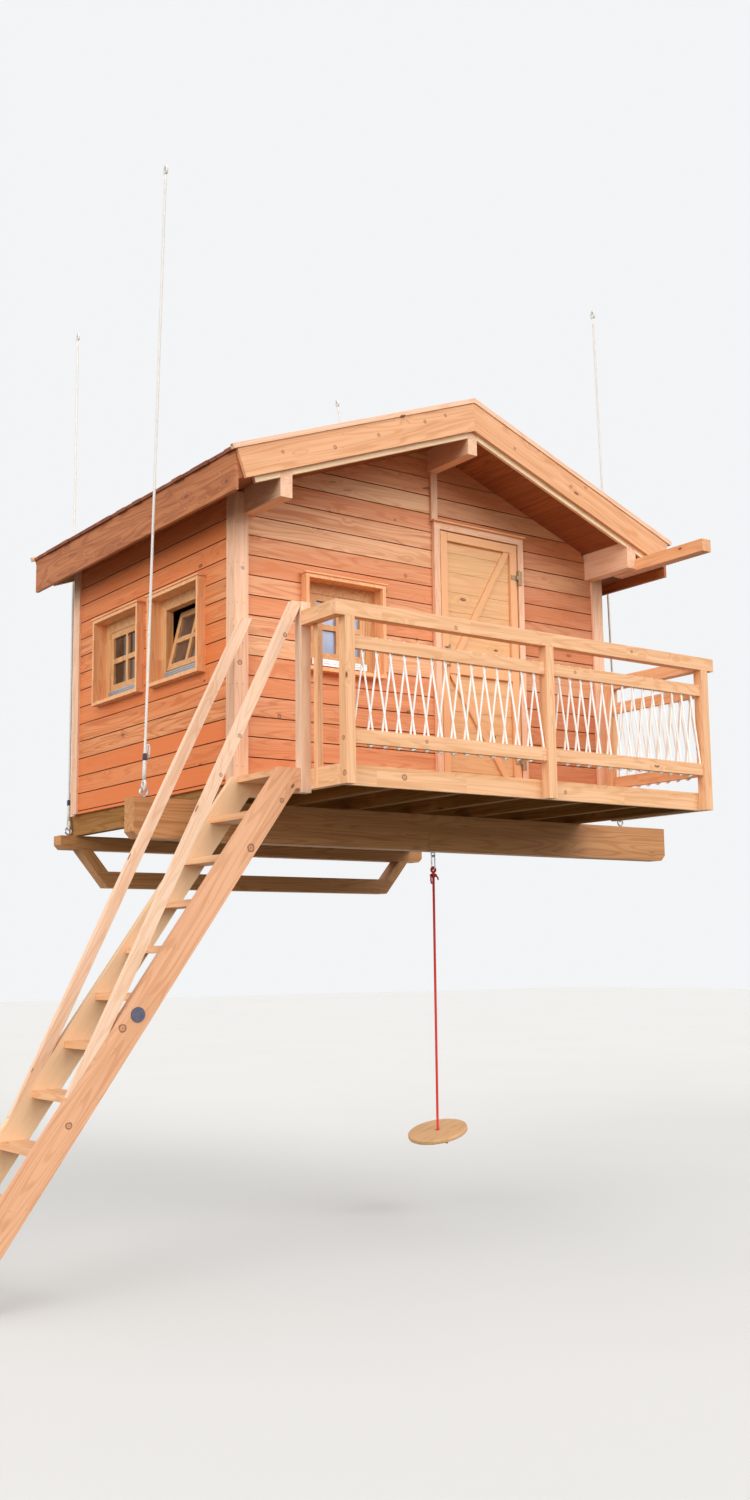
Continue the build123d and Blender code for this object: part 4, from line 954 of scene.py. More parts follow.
class TREEHOUSE_OT_walls(bpy.types.Operator):
    """Level wall boards, their joints painted dark as shade in the grooves, cut round the windows,
    the door and the beams
    """

    bl_idname = "treehouse.walls"
    bl_label = "Wall boards"

    def execute(self, context):
        # Painted shade: the front wall's boards right of the middle take a darker, redder tint.
        right_painted_shade = painted_light_and_shade_past(
            "X", 0.0, tuple(colours().cladding_painted_shade), 0.38, with_knots(KNOTS["front"])
        )
        front_wood, back_wood = [
            board_wood(
                name, *shades("cladding", "red", "blond"), knots=0.62, strength=1.0, step=step
            )
            for name, step in (
                ("Cladding larch", right_painted_shade), ("Back cladding larch", with_knots(())),
            )
        ]
        # Painted shade: the side walls take the darker, redder copy of the cladding colours.
        side_wood = board_wood(
            "Side cladding larch", *shades("side", "red", "blond"), knots=0.62, strength=1.0,
            joint=(0.10, 0.022, 0.004),
        )
        low, ridge_under = CLADDING_FOOT, float(roof_underside(0.0))
        plate_middle, plate_half, plate_foot = 1.544, 0.045, DECK + 1.75
        ridge_half, ridge_foot = 0.041, ridge_under - 0.177
        beam_holes = [
            (side * plate_middle - plate_half, side * plate_middle + plate_half, plate_foot, BEYOND)
            for side in (-1, 1)
        ]
        beam_holes.append((-ridge_half, ridge_half, ridge_foot, BEYOND))

        def gable_edges(height):
            reach = INNER_HALF - (height + 0.0004 - PLATE_TOP) / SLOPE
            reach = np.clip(reach, 0.0, CABIN_HALF)
            return -reach, reach

        window = (*FRONT_WINDOW, WINDOW_LOW, WINDOW_HIGH)
        door = (*DOOR_HOLE, low - 0.01, DOOR_TOP)
        for name, face, direction, holes, nodes, seed, wood in (
            ("wall_boards_front", FRONT, 1, [window, door],
             ("front_wall_left", "front_wall_right", "front_wall_over_door"), 11, front_wood),
            ("wall_boards_back", BACK, -1, [], ("back_wall",), 12, back_wood),
        ):
            boards = Boards(seed)
            clad(
                boards,
                lambda along, depth, height, face=face, direction=direction: np.stack(
                    [along, face + direction * depth, height], -1
                ),
                low, ridge_under - 0.002, gable_edges, beam_holes + holes, seed, 0.0,
                (0.0, 0.85),
            )
            boards.build(name, "house", "cladding", wood, nodes)
        ends = (FRONT + WALL, BACK - WALL)
        holes = [(*span, WINDOW_LOW, WINDOW_HIGH) for span in SIDE_WINDOWS]
        for name, side, node, seed in (
            ("wall_boards_left", -1, "left_wall", 13),
            ("wall_boards_right", 1, "right_wall", 14),
        ):
            boards = Boards(seed)
            clad(
                boards,
                lambda along, depth, height, side=side: np.stack(
                    [np.broadcast_to(side * (CABIN_HALF - depth), height.shape), along, height], -1
                ),
                low, float(roof_underside(CABIN_HALF)) - 0.001,
                lambda height: (np.full(8, ends[0]), np.full(8, ends[1])), holes, seed, 0.011,
                (0.10, 1.0),
            )
            boards.build(name, "house", "cladding", side_wood, (node,))
        return {"FINISHED"}


def prism(x, z, start, end):
    """Two rings with one outline in the XZ plane, at two places along Y."""
    return np.stack([np.stack([x, np.full(len(x), y), z], -1) for y in (start, end)])


def soffit_boards():
    """Roof boards side by side under each slope, as six-sided outlines that follow
    roof_underside and run from gable to gable, with the roof's plain body on top."""
    soffit_light, soffit_dark = shades("soffit")
    soffit = board_wood(
        "Soffit larch", soffit_light, soffit_dark, soffit_dark, knots=0.3, strength=0.8,
        joint=(0.12, 0.03, 0.008),
    )
    low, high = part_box("roof_slopes")
    eave = high.x
    arris, thick = 0.0015, 0.020
    boards = Boards(21)
    pitch = sizes().soffit_pitch
    for side in (-1, 1):
        count = int(eave / pitch)
        for start in np.linspace(0, eave, count + 1)[:-1]:
            end = start + eave / count
            outline = np.array([
                (start + arris, 0.0), (end - arris, 0.0), (end, 0.003), (end, thick),
                (start, thick), (start, 0.003),
            ])
            x = outline[:, 0]
            z = roof_underside(x) + outline[:, 1]
            boards.bar(prism(side * x, z, low.y, high.y), joint_sides=(1, 5))
        x = np.array([0.0, eave, eave, 0.0])
        above = thick + SEAM
        z = roof_underside(x) + np.array([above, above, ROOF_DEEP, ROOF_DEEP])
        boards.bar(prism(side * x, z, low.y, high.y))
    boards.build("roof_boards", "house", "roof_timber", soffit, ("roof_slopes",))


def shingle_courses():
    """Shingles in courses from the eaves to the ridge: each is a wedge that lies on the slope,
    with its butt a course's exposure above the one before, and of random width and thickness.
    The first course is as thick as the pile above it."""
    shingle_light, shingle_dark = shades("shingle")
    wood = board_wood(
        "Shingle cedar", shingle_light, shingle_dark, shingle_dark, knots=0.0, strength=1.0,
    )
    low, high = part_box("shingles")
    shingles = Boards(22)
    random = np.random.default_rng(23)
    run = high.x / cos(SLOPE_ANGLE)
    exposure, mean = sizes().shingle_exposure, sizes().shingle_width
    long = exposure * 2.1
    courses = int(np.ceil(run / exposure)) + 1
    ridge_top = float(roof_underside(0.0)) + ROOF_DEEP
    down = np.array([cos(SLOPE_ANGLE), -sin(SLOPE_ANGLE)])
    out = np.array([sin(SLOPE_ANGLE), cos(SLOPE_ANGLE)])
    full = 0.024 * cos(SLOPE_ANGLE)
    gap, edge, narrowest, shortest = 0.003, 0.003, 0.02, 0.03
    for side in (-1, 1):
        for course in range(courses):
            butt = run - course * exposure
            y = low.y - random.random() * 0.05
            while y < high.y - 0.01:
                wide = mean * random.uniform(0.65, 1.35)
                start, end = max(y, low.y), min(y + wide - gap, high.y)
                y += wide
                if end - start < narrowest:
                    continue
                foot = butt - random.uniform(0.0, 0.012 if course else 0.02)
                head = max(foot - long, 0.002)
                if foot - head < shortest:
                    continue
                lift = full - random.uniform(0.0, 0.002)
                thin = random.uniform(0.009, 0.012) if course else lift - 0.0005
                top_head = full - (foot - head) * (full - edge) / long
                profile = np.array([
                    (foot, lift - thin), (foot, lift), (head, max(top_head, edge)),
                    (head, max(top_head - edge, 0.0005)),
                ])
                flat = profile[:, :1] * down + profile[:, 1:] * out
                x, z = side * np.maximum(flat[:, 0], 0.001), ridge_top + flat[:, 1]
                shingles.bar(
                    prism(x, z, start, end), around=(0.0, 0.012, 0.30, 0.31),
                    along=(0.0, end - start),
                )
    shingles.build("shingle_courses", "house", "shingle", wood, ("shingles",))


class TREEHOUSE_OT_roof(bpy.types.Operator):
    """Roof boards seen from below, with their joints, and the shingles in courses on top"""

    bl_idname = "treehouse.roof"
    bl_label = "Roof boards and shingles"

    def execute(self, context):
        soffit_boards()
        shingle_courses()
        return {"FINISHED"}


class TREEHOUSE_OT_door(bpy.types.Operator):
    """Level door boards behind raised stiles, rails and two slanted braces"""

    bl_idname = "treehouse.door"
    bl_label = "Door leaf"

    def execute(self, context):
        wood = board_wood(
            "Door larch", *shades("door"), (0.82, 0.42, 0.20), knots=0.3, strength=1.1,
            joint=(0.46, 0.22, 0.08),
        )
        low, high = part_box("door_leaf")
        board_count, board_thick, wide, brace = 13, 0.020, 0.066, 0.058
        panel = high.y - board_thick
        boards = Boards(31)
        edges = np.linspace(low.z, high.z, board_count + 1)
        for bottom, top in zip(edges, edges[1:]):
            boards.block(
                (low.x, panel, bottom + 0.0003), (high.x, high.y, top - 0.0006), "X",
                boards.random.uniform(0.0, 0.3), 0.0015,
            )
        rail = DECK + 0.896
        for left in (low.x, high.x - wide):
            boards.block((left, low.y, low.z), (left + wide, panel, high.z), "Z", 0.95)
        for bottom in (low.z, rail - wide / 2, high.z - wide):
            boards.block(
                (low.x + wide, low.y, bottom), (high.x - wide, panel, bottom + wide), "X", 0.9,
            )
        left, right, face = low.x + wide, high.x - wide, low.y + 0.006
        for far, near in (
            (high.z - wide, rail + wide / 2), (low.z + wide, rail - wide / 2),
        ):
            boards.bar(np.array([
                [(start, face, level), (start - brace, face, level),
                 (start - brace, panel, level), (start, panel, level)]
                for start, level in ((right, far), (left + brace, near))
            ]), 0.6)
        boards.build("door_boards", "door", "door_wood", wood, ("door_leaf",))
        return {"FINISHED"}


class TREEHOUSE_OT_drip_boards(bpy.types.Operator):
    """Thin boards over the windows and the door, which reach past them on both sides"""

    bl_idname = "treehouse.drip_boards"
    bl_label = "Drip boards"

    def execute(self, context):
        light, dark = shades("casing")
        wood = board_wood("Drip board larch", light, dark, dark, knots=0.2, strength=0.6)
        boards = Boards(71)
        past, thick, window_proud, door_proud = 0.012, 0.013, 0.070, 0.048
        rows = [
            (0, FRONT, -1, FRONT_WINDOW, WINDOW_HIGH, window_proud),
            (0, FRONT, -1, DOOR_HOLE, DOOR_TOP, door_proud),
        ]
        rows += [
            (1, side * CABIN_HALF, side, span, WINDOW_HIGH, window_proud)
            for side in (-1, 1) for span in SIDE_WINDOWS
        ]
        for axis, face, out, (start, end), height, proud in rows:
            low, high = np.zeros(3), np.zeros(3)
            low[axis], high[axis] = start - past, end + past
            low[1 - axis], high[1 - axis] = sorted((face, face + out * proud))
            low[2], high[2] = height, height + thick
            boards.block(low, high, "XY"[axis], arris=0.002)
        boards.build("drip_boards", "house", "window_wood", wood)
        return {"FINISHED"}


def screw_places():
    """Places of the screws as (middle, outward direction): in the corner boards, fascias, barge
    boards, deck boards, treads and door frame."""
    spots = []
    barge_middle, door_trim, every_second_board = 2.856, -2.610, 0.2684
    for side in (-1, 1):
        for level in np.arange(0.312, 2.0, every_second_board):
            for shift in (-0.022, 0.022):
                x = side * CORNER_MIDDLE + shift
                spots.append(((x, CORNER_FRONT, level), (0, -1, 0)))
                spots.append(((x, CORNER_BACK, level), (0, 1, 0)))
                for middle in (-2.554, -0.156):
                    spots.append(((side * CORNER_OUT, middle + shift, level), (side, 0, 0)))
        for along in np.arange(-2.85, 0.0, 0.46):
            for level in (2.02, 2.13):
                spots.append(((side * FASCIA_OUT, along, level), (side, 0, 0)))
        for across in (0.12, 0.62, 1.12, 1.62):
            for over in (-0.045, 0.045):
                level = barge_middle - across * SLOPE + over
                spots.append(((side * across, BARGE_FRONT, level), (0, -1, 0)))
                spots.append(((side * across, BARGE_BACK, level), (0, 1, 0)))
    for row in range(7):
        for joist in range(7):
            x = FIRST_JOIST + JOIST_STEP * joist
            if -1.41 < x < 1.60:
                for shift in (-0.035, 0.035):
                    y = FIRST_DECK_BOARD + DECK_BOARD_STEP * row + shift
                    spots.append(((x, y, DECK), (0, 0, 1)))
    for tread in range(1, 11):
        x, z = STAIR_HEAD - TREAD_GOING * tread, DECK - 0.020 - TREAD_RISE * tread
        for shift in (-0.045, 0.045):
            spots.append(((x + shift, STAIR_FRONT, z), (0, -1, 0)))
    for x in (0.013, 0.811):
        for level in np.arange(0.42, 2.1, 0.40):
            spots.append(((x, door_trim, level), (0, -1, 0)))
    return spots


class TREEHOUSE_OT_screws(bpy.types.Operator):
    """Low domed screw heads: three ten-sided rings of falling radius, filled at both ends"""

    bl_idname = "treehouse.screws"
    bl_label = "Screw heads"

    def execute(self, context):
        screws = Boards(81)
        for middle, normal in screw_places():
            middle, normal = np.array(middle), np.array(normal, float)
            circle = spokes(normal, (0.3, 0.5, 0.8), 10)
            screws.bar([
                middle + circle * wide + normal * high
                for wide, high in ((0.0046, -0.0004), (0.0044, 0.0006), (0.0028, 0.0014))
            ])
        zinc = metal_material("Screw zinc", (0.60, 0.43, 0.30), 0.42, 200.0, 0.3)
        screws.build("screw_heads", "house", "ironwork", zinc, (), True)
        return {"FINISHED"}


class TREEHOUSE_OT_lacing(bpy.types.Operator):
    """White rope laced between the rails: one round line goes up, over the middle rail in a
    half circle, down and under the lower rail, and its strands cross near each rail"""

    bl_idname = "treehouse.lacing"
    bl_label = "Railing lacing"

    def execute(self, context):
        white = rope_material("White lacing rope", tuple(colours().lacing_white), 0.055)
        radius = sizes().lacing_radius
        crossing, lift, aside = 0.013, 0.004, 0.006
        top, foot = DECK + 0.698, DECK + 0.206
        over, under = DECK + 0.779 - lift, DECK + 0.121 - radius
        for node, loops, axis in (
            ("rope_lacing_left", 14, 0), ("rope_lacing_right", 14, 0), ("rope_lacing_end", 8, 1),
        ):
            low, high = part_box(node)
            start = low[axis] + crossing + radius
            step = (high[axis] - crossing - radius - start) / loops
            other = (low[1 - axis] + high[1 - axis]) / 2
            middle = start + (np.arange(loops) + 0.5) * step
            left, right = -step / 2 - crossing, step / 2 + crossing
            hump = np.linspace(0, pi, 6)
            dip = np.linspace(pi, 2 * pi, 6)
            along = np.concatenate([
                [left, left, crossing, crossing],
                crossing * np.cos(hump),
                [-crossing, -crossing, right, right],
                step / 2 + crossing * np.cos(dip),
            ])
            height = np.concatenate([
                [under, foot, top, over],
                over + lift * np.sin(hump),
                [over, top, foot, under],
                under + crossing * 0.35 * np.sin(dip),
            ])
            depth = np.concatenate([
                np.full(4, aside), np.linspace(aside, -aside, 6), np.full(4, -aside),
                np.linspace(-aside, aside, 6),
            ])
            path = np.zeros((loops, len(along), 3))
            path[:, :, axis] = middle[:, None] + along
            path[:, :, 1 - axis] = other + depth
            path[:, :, 2] = height
            path = path.reshape(-1, 3)[:-6]
            ropes = Boards(41)
            keep = np.concatenate([[True], np.linalg.norm(np.diff(path, axis=0), axis=1) > 1e-5])
            rope(ropes, path[keep], radius, 8, (0, 1, 0) if axis == 0 else (1, 0, 0))
            name = node.replace("rope_lacing", "laced_rope")
            ropes.build(name, "house", "rope", white, (node,), True)
        return {"FINISHED"}


class TREEHOUSE_OT_hanging_ropes(bpy.types.Operator):
    """Four taut ropes: straight round lines, thicker along the splice at the foot, with a
    drop-shaped eye at each end, a whipping, and a short tail bent over in a half circle"""

    bl_idname = "treehouse.hanging_ropes"
    bl_label = "Hanging ropes"

    def execute(self, context):
        white = rope_material("White hanging rope", tuple(colours().rope_white), 0.07)
        radius = sizes().rope_radius
        ropes, bands = Boards(51), Boards(52)
        sideways = (1.0, 0.0, 0.0)
        for side in (-1, 1):
            for start, end in (
                ((side * 2.125, -2.254, 0.1622), (side * 2.010, -2.254, 4.4375)),
                ((side * 1.655, -0.065, 0.1025), (side * 1.355, 0.595, 4.4375)),
            ):
                start, end = np.array(start), np.array(end)
                run = (end - start) / np.linalg.norm(end - start)
                flat = np.cross(sideways, run)
                flat /= np.linalg.norm(flat)
                turn = np.linspace(0, 2 * pi, 25)

                def eye(foot, lift):
                    """A drop-shaped loop: a circle drawn in towards its throat."""
                    wide = 0.024 * np.sin(turn) * (0.75 - 0.25 * np.cos(turn))
                    far = 0.030 - 0.030 * np.cos(turn)
                    return foot + np.outer(far, lift) + np.outer(wide, flat)

                splice = start + run * 0.060
                body = np.linspace(0, 1, 60)[:, None] * (end - run * 0.024 - splice) + splice
                distance = np.linalg.norm(body - start, axis=1)
                thick = radius + 0.0035 * np.clip((0.24 - distance) / 0.04, 0, 1)
                rope(ropes, body, thick, 12, sideways)
                rope(ropes, eye(start, run), radius, 12, sideways)
                rope(ropes, eye(end + run * 0.024, -run), radius, 12, sideways)
                step = np.linspace(0, 1, 9)
                bulge = radius + 0.0045 + 0.0015 * np.sin(pi * step)
                band = start + np.outer(0.192 + 0.045 * step, run)
                rope(bands, band, bulge, 16, sideways)
                bend = np.linspace(0, pi, 9)
                out = np.concatenate([
                    [0.004, 0.009, 0.012], 0.021 - 0.009 * np.cos(bend), [0.030, 0.029, 0.027],
                ])
                rise = np.concatenate([
                    [0.215, 0.235, 0.262], 0.282 + 0.012 * np.sin(bend), [0.26, 0.235, 0.205],
                ])
                tail = start + np.outer(rise, run) + np.outer(out, (-side, 0.0, 0.0))
                rope(ropes, tail, radius * 0.7, 10, (0.0, 1.0, 0.0))
        ropes.build("hanging_rope_lines", "house", "rope", white, ("hanging_ropes",), True)
        thread = rope_material("Navy whipping", tuple(colours().whipping), 0.004)
        bands.build("rope_whippings", "house", "rope", thread, (), True)
        return {"FINISHED"}


def spline_points(name, points):
    """Points read from an open NURBS spline with these control points."""
    curve = bpy.data.curves.new(name, "CURVE")
    curve.dimensions = "3D"
    spline = curve.splines.new("NURBS")
    spline.points.add(len(points) - 1)
    spline.points.foreach_set("co", np.column_stack([points, np.ones(len(points))]).reshape(-1))
    spline.order_u = 3
    spline.use_endpoint_u = True
    route = bpy.data.objects.new(name, curve)
    bpy.context.scene.collection.objects.link(route)
    bpy.context.view_layer.update()
    line = bpy.data.meshes.new_from_object(route)
    path = np.zeros(len(line.vertices) * 3)
    line.vertices.foreach_get("co", path)
    bpy.data.objects.remove(route)
    bpy.data.meshes.remove(line)
    return path.reshape(-1, 3)


def knotted(knots, middle, size, radius):
    """An overhand knot: a trefoil curve pressed into a ball of a given size."""
    angle = np.linspace(0, 2 * pi, 97)
    curve = np.stack([
        np.sin(angle) + 2 * np.sin(2 * angle),
        np.cos(angle) - 2 * np.cos(2 * angle),
        -np.sin(3 * angle) * 1.2,
    ], -1)
    curve = curve / np.abs(curve).max(0) * (size - radius * 0.9)
    path = curve[:, [0, 2, 1]] + middle
    rope(knots, path, radius * 0.82, 10, path - middle + (0.0, 0.003, 0.0))


def seat_rings(middle):
    """The seat: its section, a flat bar with quarter circles at the rim and at the hole,
    carried round the leaning middle line."""
    edge, bore, half, reach, hole = 0.007, 0.003, 0.015, 0.212, 0.015
    lean = sin(SEAT_LEAN)
    axis = np.array((-0.944 * lean, -0.330 * lean, cos(SEAT_LEAN)))
    axis /= np.linalg.norm(axis)
    turn = np.linspace(0, pi / 2, 5)
    rising, falling = np.sin(turn), np.cos(turn)
    section = np.concatenate([
        np.stack([reach - edge + edge * falling, half - edge + edge * rising], -1),
        np.stack([hole + bore - bore * rising, half - bore + bore * falling], -1),
        np.stack([hole + bore - bore * falling, bore - half - bore * rising], -1),
        np.stack([reach - edge + edge * rising, edge - half - edge * falling], -1),
    ])
    out = spokes(axis, (0.0, 1.0, 0.0), 96)
    return middle + out[:, None] * section[None, :, :1] + axis * section[None, :, 1:]


class TREEHOUSE_OT_swing(bpy.types.Operator):
    """Red swing rope, a straight round line, its knots and tails, its loop in the link, a
    circle, and the round seat with its hole"""

    bl_idname = "treehouse.swing"
    bl_label = "Swing rope, knots and seat"

    def execute(self, context):
        red = rope_material("Red swing rope", tuple(colours().rope_red), 0.05)
        radius = sizes().rope_radius
        x, y = SWING
        low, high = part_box("swing_rope")
        points = np.array([(x, y, z) for z in np.linspace(high.z, low.z, 6)])
        route = spline_points("swing_rope_route", points)
        ropes = Boards(61)
        rope(ropes, route, radius, 12, (1.0, 0.0, 0.0))
        cord = ropes.build("swing_rope_line", "swing", "red_rope", red, ("swing_rope",), True)

        knots = Boards(62)
        upper_ball, end_ball, loop = 0.0235, 0.0295, 0.017
        knotted(knots, np.array((x, y, high.z + 0.019)), upper_ball, radius)
        knotted(knots, np.array((x, y, low.z - 0.0286)), end_ball, radius)
        turn = np.linspace(0, 2 * pi, 33)
        circle = loop * np.stack([np.sin(turn), np.zeros(33), -np.cos(turn)], -1)
        loop_middle = np.array((x, y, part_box("swing_knots")[1].z - 0.0253))
        rope(knots, loop_middle + circle, radius * 0.98, 10, (0, 1, 0))
        upper, lower = (x, y, high.z + 0.014), (x, y, low.z - 0.030)
        for foot, reference, tail in (
            (upper, (0.3, 1, 0), [
                (-0.012, 0.0, 0.0), (-0.026, -0.004, -0.006), (-0.030, -0.008, -0.028),
                (-0.027, -0.012, -0.056)]),
            (upper, (0.3, 1, 0), [
                (0.010, -0.012, 0.002), (0.020, -0.022, -0.008), (0.022, -0.028, -0.026)]),
            (lower, (0, 0, 1), [
                (0.010, -0.008, -0.010), (0.034, -0.022, -0.022), (0.062, -0.034, -0.030)]),
        ):
            rope(knots, np.array(foot) + tail, radius * 0.7, 10, reference)
        knots.build("swing_rope_knots", "swing", "red_rope", red, ("swing_knots",), True)

        disc = Boards(63)
        seat_low, seat_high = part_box("swing_seat")
        disc.hoop(seat_rings(np.array((x, y, (seat_low.z + seat_high.z) / 2))))
        plank = frame_wood(
            "Swing seat wood", 0.3, *shades("seat"), NO_CELLS,
            extra=with_knots(KNOTS["swing_seat"]),
        )
        disc.build("swing_seat_disc", "swing", "seat_wood", plank, ("swing_seat",))
        return {"FINISHED"}


# Woods of the frame's nodes, as (node, run of the grain, colours, cells of one timber each,
# place where the grain turns)
NO_CELLS = ((0, 0), (0, 0), (0, 0))
SIDES = ((4.0, 0.0), (0, 0), (0, 0))
SIDES_AND_ENDS = ((4.0, 0.0), (2.0, 0.0), (0, 0))
STEPS = ((0, 0), (0.3, 0.0), (0, 0))
RAILS = ((0.7, 0.2), (0.7, 0.1), (0, 0))
PANES = ((0.4, 0.1), (0.45, 0.0), (0.3, 0.0))
GABLE_RUN = ("gable", -SLOPE_ANGLE)
RETURN = ("Y", -BEYOND, RAIL_FRONT, "Y")
TIMBERS = (
    ("frame_top_chord", "X", "frame", NO_CELLS, None),
    ("frame_bottom_chord", "X", "frame", NO_CELLS, None),
    ("frame_braces", ("gable", BRACE_ANGLE), "frame", SIDES, None),
    # Painted shade: the joists take the darker joist colours, for the shade under the deck.
    ("floor_joists", "Y", "joist", ((JOIST_STEP, -1.7), (0, 0), (0, 0)), None),
    ("front_beam_top", "X", "frame", NO_CELLS, None),
    ("front_beam_bottom", "X", "frame", ((5.0, 0.12), (0, 0), (0, 0)), None),
    ("cabin_floor", "X", "frame", ((0, 0), (0.12, 0.0), (0, 0)), None),
    ("deck_boards", "X", "rail", ((0, 0), (DECK_BOARD_STEP, RAIL_FRONT), (0, 0)), None),
    ("deck_rim", "X", "rail", RAILS, ("Y", -BEYOND, -3.483, "Y")),
    ("corner_boards", "Z", "trim", ((1.6, -0.8), (1.2, 0.0), (0, 0)), None),
    ("roof_beams", "Y", "trim", ((1.0, -0.5), (0, 0), (0, 0)), None),
    ("side_arm", "Y", "barge", NO_CELLS, None),
    ("ridge_cap", "Y", "shingle", ((4.0, 0.0), (0.8, 0.0), (0, 0)), None),
    ("fascia_boards", "Y", "fascia", SIDES, None),
    ("barge_boards", GABLE_RUN, "barge", SIDES_AND_ENDS, None),
    ("verge_battens", GABLE_RUN, "batten", SIDES_AND_ENDS, None),
    ("verge_caps", GABLE_RUN, "trim", SIDES_AND_ENDS, None),
    ("gable_trim", "Z", "trim", NO_CELLS, None),
    ("window_casings", "Z", "casing", PANES, ("Z", 1.0195, 1.6235, "XY")),
    ("window_frames", "Z", "window", PANES, ("Z", 1.0495, 1.5495, "XY")),
    ("window_sashes", "Z", "window", PANES, ("Z", 1.1438, 1.4992, "XY")),
    ("door_frame", "Z", "trim", ((0.5, 0.4), (0, 0), (0, 0)), ("Z", -BEYOND, 2.1525, "X")),
    ("railing_posts", "Z", "rail", ((0.6, 0.1), (0.5, 0.1), (0, 0)), None),
    ("stair_newel", "Z", "stair", NO_CELLS, None),
    ("top_rails", "X", "rail", RAILS, RETURN),
    ("lower_rails", "X", "rail", ((1.6, 0.1), (1.0, 0.1), (0.4, 0.0)), RETURN),
    ("stair_stringers", STAIR_ANGLE, "string", STEPS, None),
    ("stair_handrails", HANDRAIL_ANGLE, "stair", STEPS, None),
    ("stair_treads", "Y", "rail", ((0, 0), (0, 0), (TREAD_RISE, 0.0)), None),
)
# Wear and painted highlight of the edges for some woods; the others take the usual amount.
WEAR_AND_HIGHLIGHT = {"frame": 0.1, "joist": 0.0}
MATT = ("floor_joists", "deck_boards")  # low light skims them, and gloss would flash there


def finish_node(node, material):
    """Gives a node of the frame its material."""
    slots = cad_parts[node].data.materials
    slots.clear()
    slots.append(material)


class TREEHOUSE_OT_timbers(bpy.types.Operator):
    """Woods, metals and glass for the frame's own nodes"""

    bl_idname = "treehouse.timbers"
    bl_label = "Frame finishes"

    def execute(self, context):
        for node, run, wood, cells, other in TIMBERS:
            step = with_knots(KNOTS.get(node, ()))
            # Painted light: the far stringer, past STAIR_MIDDLE, is tinted paler as if lit.
            if node == "stair_stringers":
                far = tuple(colours().string_far_painted_light)
                step = painted_light_and_shade_past("Y", STAIR_MIDDLE, far, 0.65, step)
            material = frame_wood(
                node.replace("_", " ").capitalize() + " wood", run, *shades(wood), cells,
                other=other, extra=step, wear=WEAR_AND_HIGHLIGHT.get(wood, WORN_AND_LIT),
            )
            if node in MATT:
                shader = next(n for n in material.node_tree.nodes if n.type == "BSDF_PRINCIPLED")
                shader.inputs["Specular IOR Level"].default_value = 0.03
            finish_node(node, material)
        steel = metal_material("Galvanised steel", tuple(colours().steel), 0.34, 90.0)
        iron = metal_material("Brown iron", tuple(colours().iron), 0.5, 160.0, 0.4)
        # Painted shade: side=0.5 darkens the side windows' weather bars.
        alloy = metal_material("Rain bar alloy", (0.88, 0.88, 0.90), 0.30, 40.0, 0.6, 0.5)
        blue = metal_material("Dark cap", (0.11, 0.11, 0.16), 0.45, 60.0, 0.5)
        glass = glass_material("Window glass")
        for node, material in (
            ("eye_bolts", steel), ("swing_link", steel), ("door_hinge_pins", iron),
            ("door_straps", iron), ("door_handle", iron), ("weather_bars", alloy),
            ("stringer_disc", blue), ("window_panes", glass),
        ):
            finish_node(node, material)
        return {"FINISHED"}


def seen_directly(tree):
    """1 for what the camera, a reflection or glass shows, 0 for light that only bounces."""
    rays = tree.add("ShaderNodeLightPath")
    seen = tree.maths("MAXIMUM", rays.outputs["Is Camera Ray"], rays.outputs["Is Glossy Ray"])
    return tree.maths("MAXIMUM", seen, rays.outputs["Is Transmission Ray"])


def stand(thing, right, up, back, spot):
    """Turns an object so that its own axes lie along right, up and back, and puts it at spot."""
    thing.matrix_world = Matrix((*zip(right, up, back, spot), (0, 0, 0, 1)))


def add_floor(scene):
    """A wide floor, pale to look at and dull in the light that it throws back."""
    mesh = bpy.data.meshes.new("studio_floor")
    reach = 60.0
    corners = ((-reach, -reach), (reach, -reach), (reach, reach), (-reach, reach))
    mesh.from_pydata([(*corner, FLOOR_LEVEL) for corner in corners], [], [(0, 1, 2, 3)])
    material, tree, shader = new_material("Studio floor")
    where = tree.where()
    soft = tree.noise(where, 0.5, 2.0)
    pale = tree.blend(soft, (0.63, 0.63, 0.62), (0.60, 0.60, 0.59))
    dull = tree.blend(soft, (0.09, 0.10, 0.07), (0.07, 0.08, 0.055))
    tree.put(shader.inputs["Base Color"], tree.blend(seen_directly(tree), dull, pale))
    shader.inputs["Roughness"].default_value = 0.85
    mesh.materials.append(material)
    floor = bpy.data.objects.new("studio_floor", mesh)
    scene.collection.objects.link(floor)


def add_world(scene):
    """A pale background that gives more light from above than from the horizon."""
    world = bpy.data.worlds.new("Studio world")
    scene.world = world
    world.use_nodes = True
    world.node_tree.nodes.clear()
    tree = Tree(world.node_tree)
    seen = seen_directly(tree)
    height = tree.split(tree.add("ShaderNodeTexCoord").outputs["Generated"])[2]
    glow = tree.span(height, -0.05, 0.55, 0.28, 0.95)
    light = tree.add(
        "ShaderNodeBackground", {"Color": (1.0, 0.98, 0.96, 1.0), "Strength": glow}
    )
    pale = tree.add(
        "ShaderNodeBackground", {"Color": (0.90, 0.91, 0.92, 1.0), "Strength": 1.0}
    )
    mix = tree.add("ShaderNodeMixShader", {0: seen, 1: light.outputs[0], 2: pale.outputs[0]})
    tree.add("ShaderNodeOutputWorld", {"Surface": mix.outputs[0]})


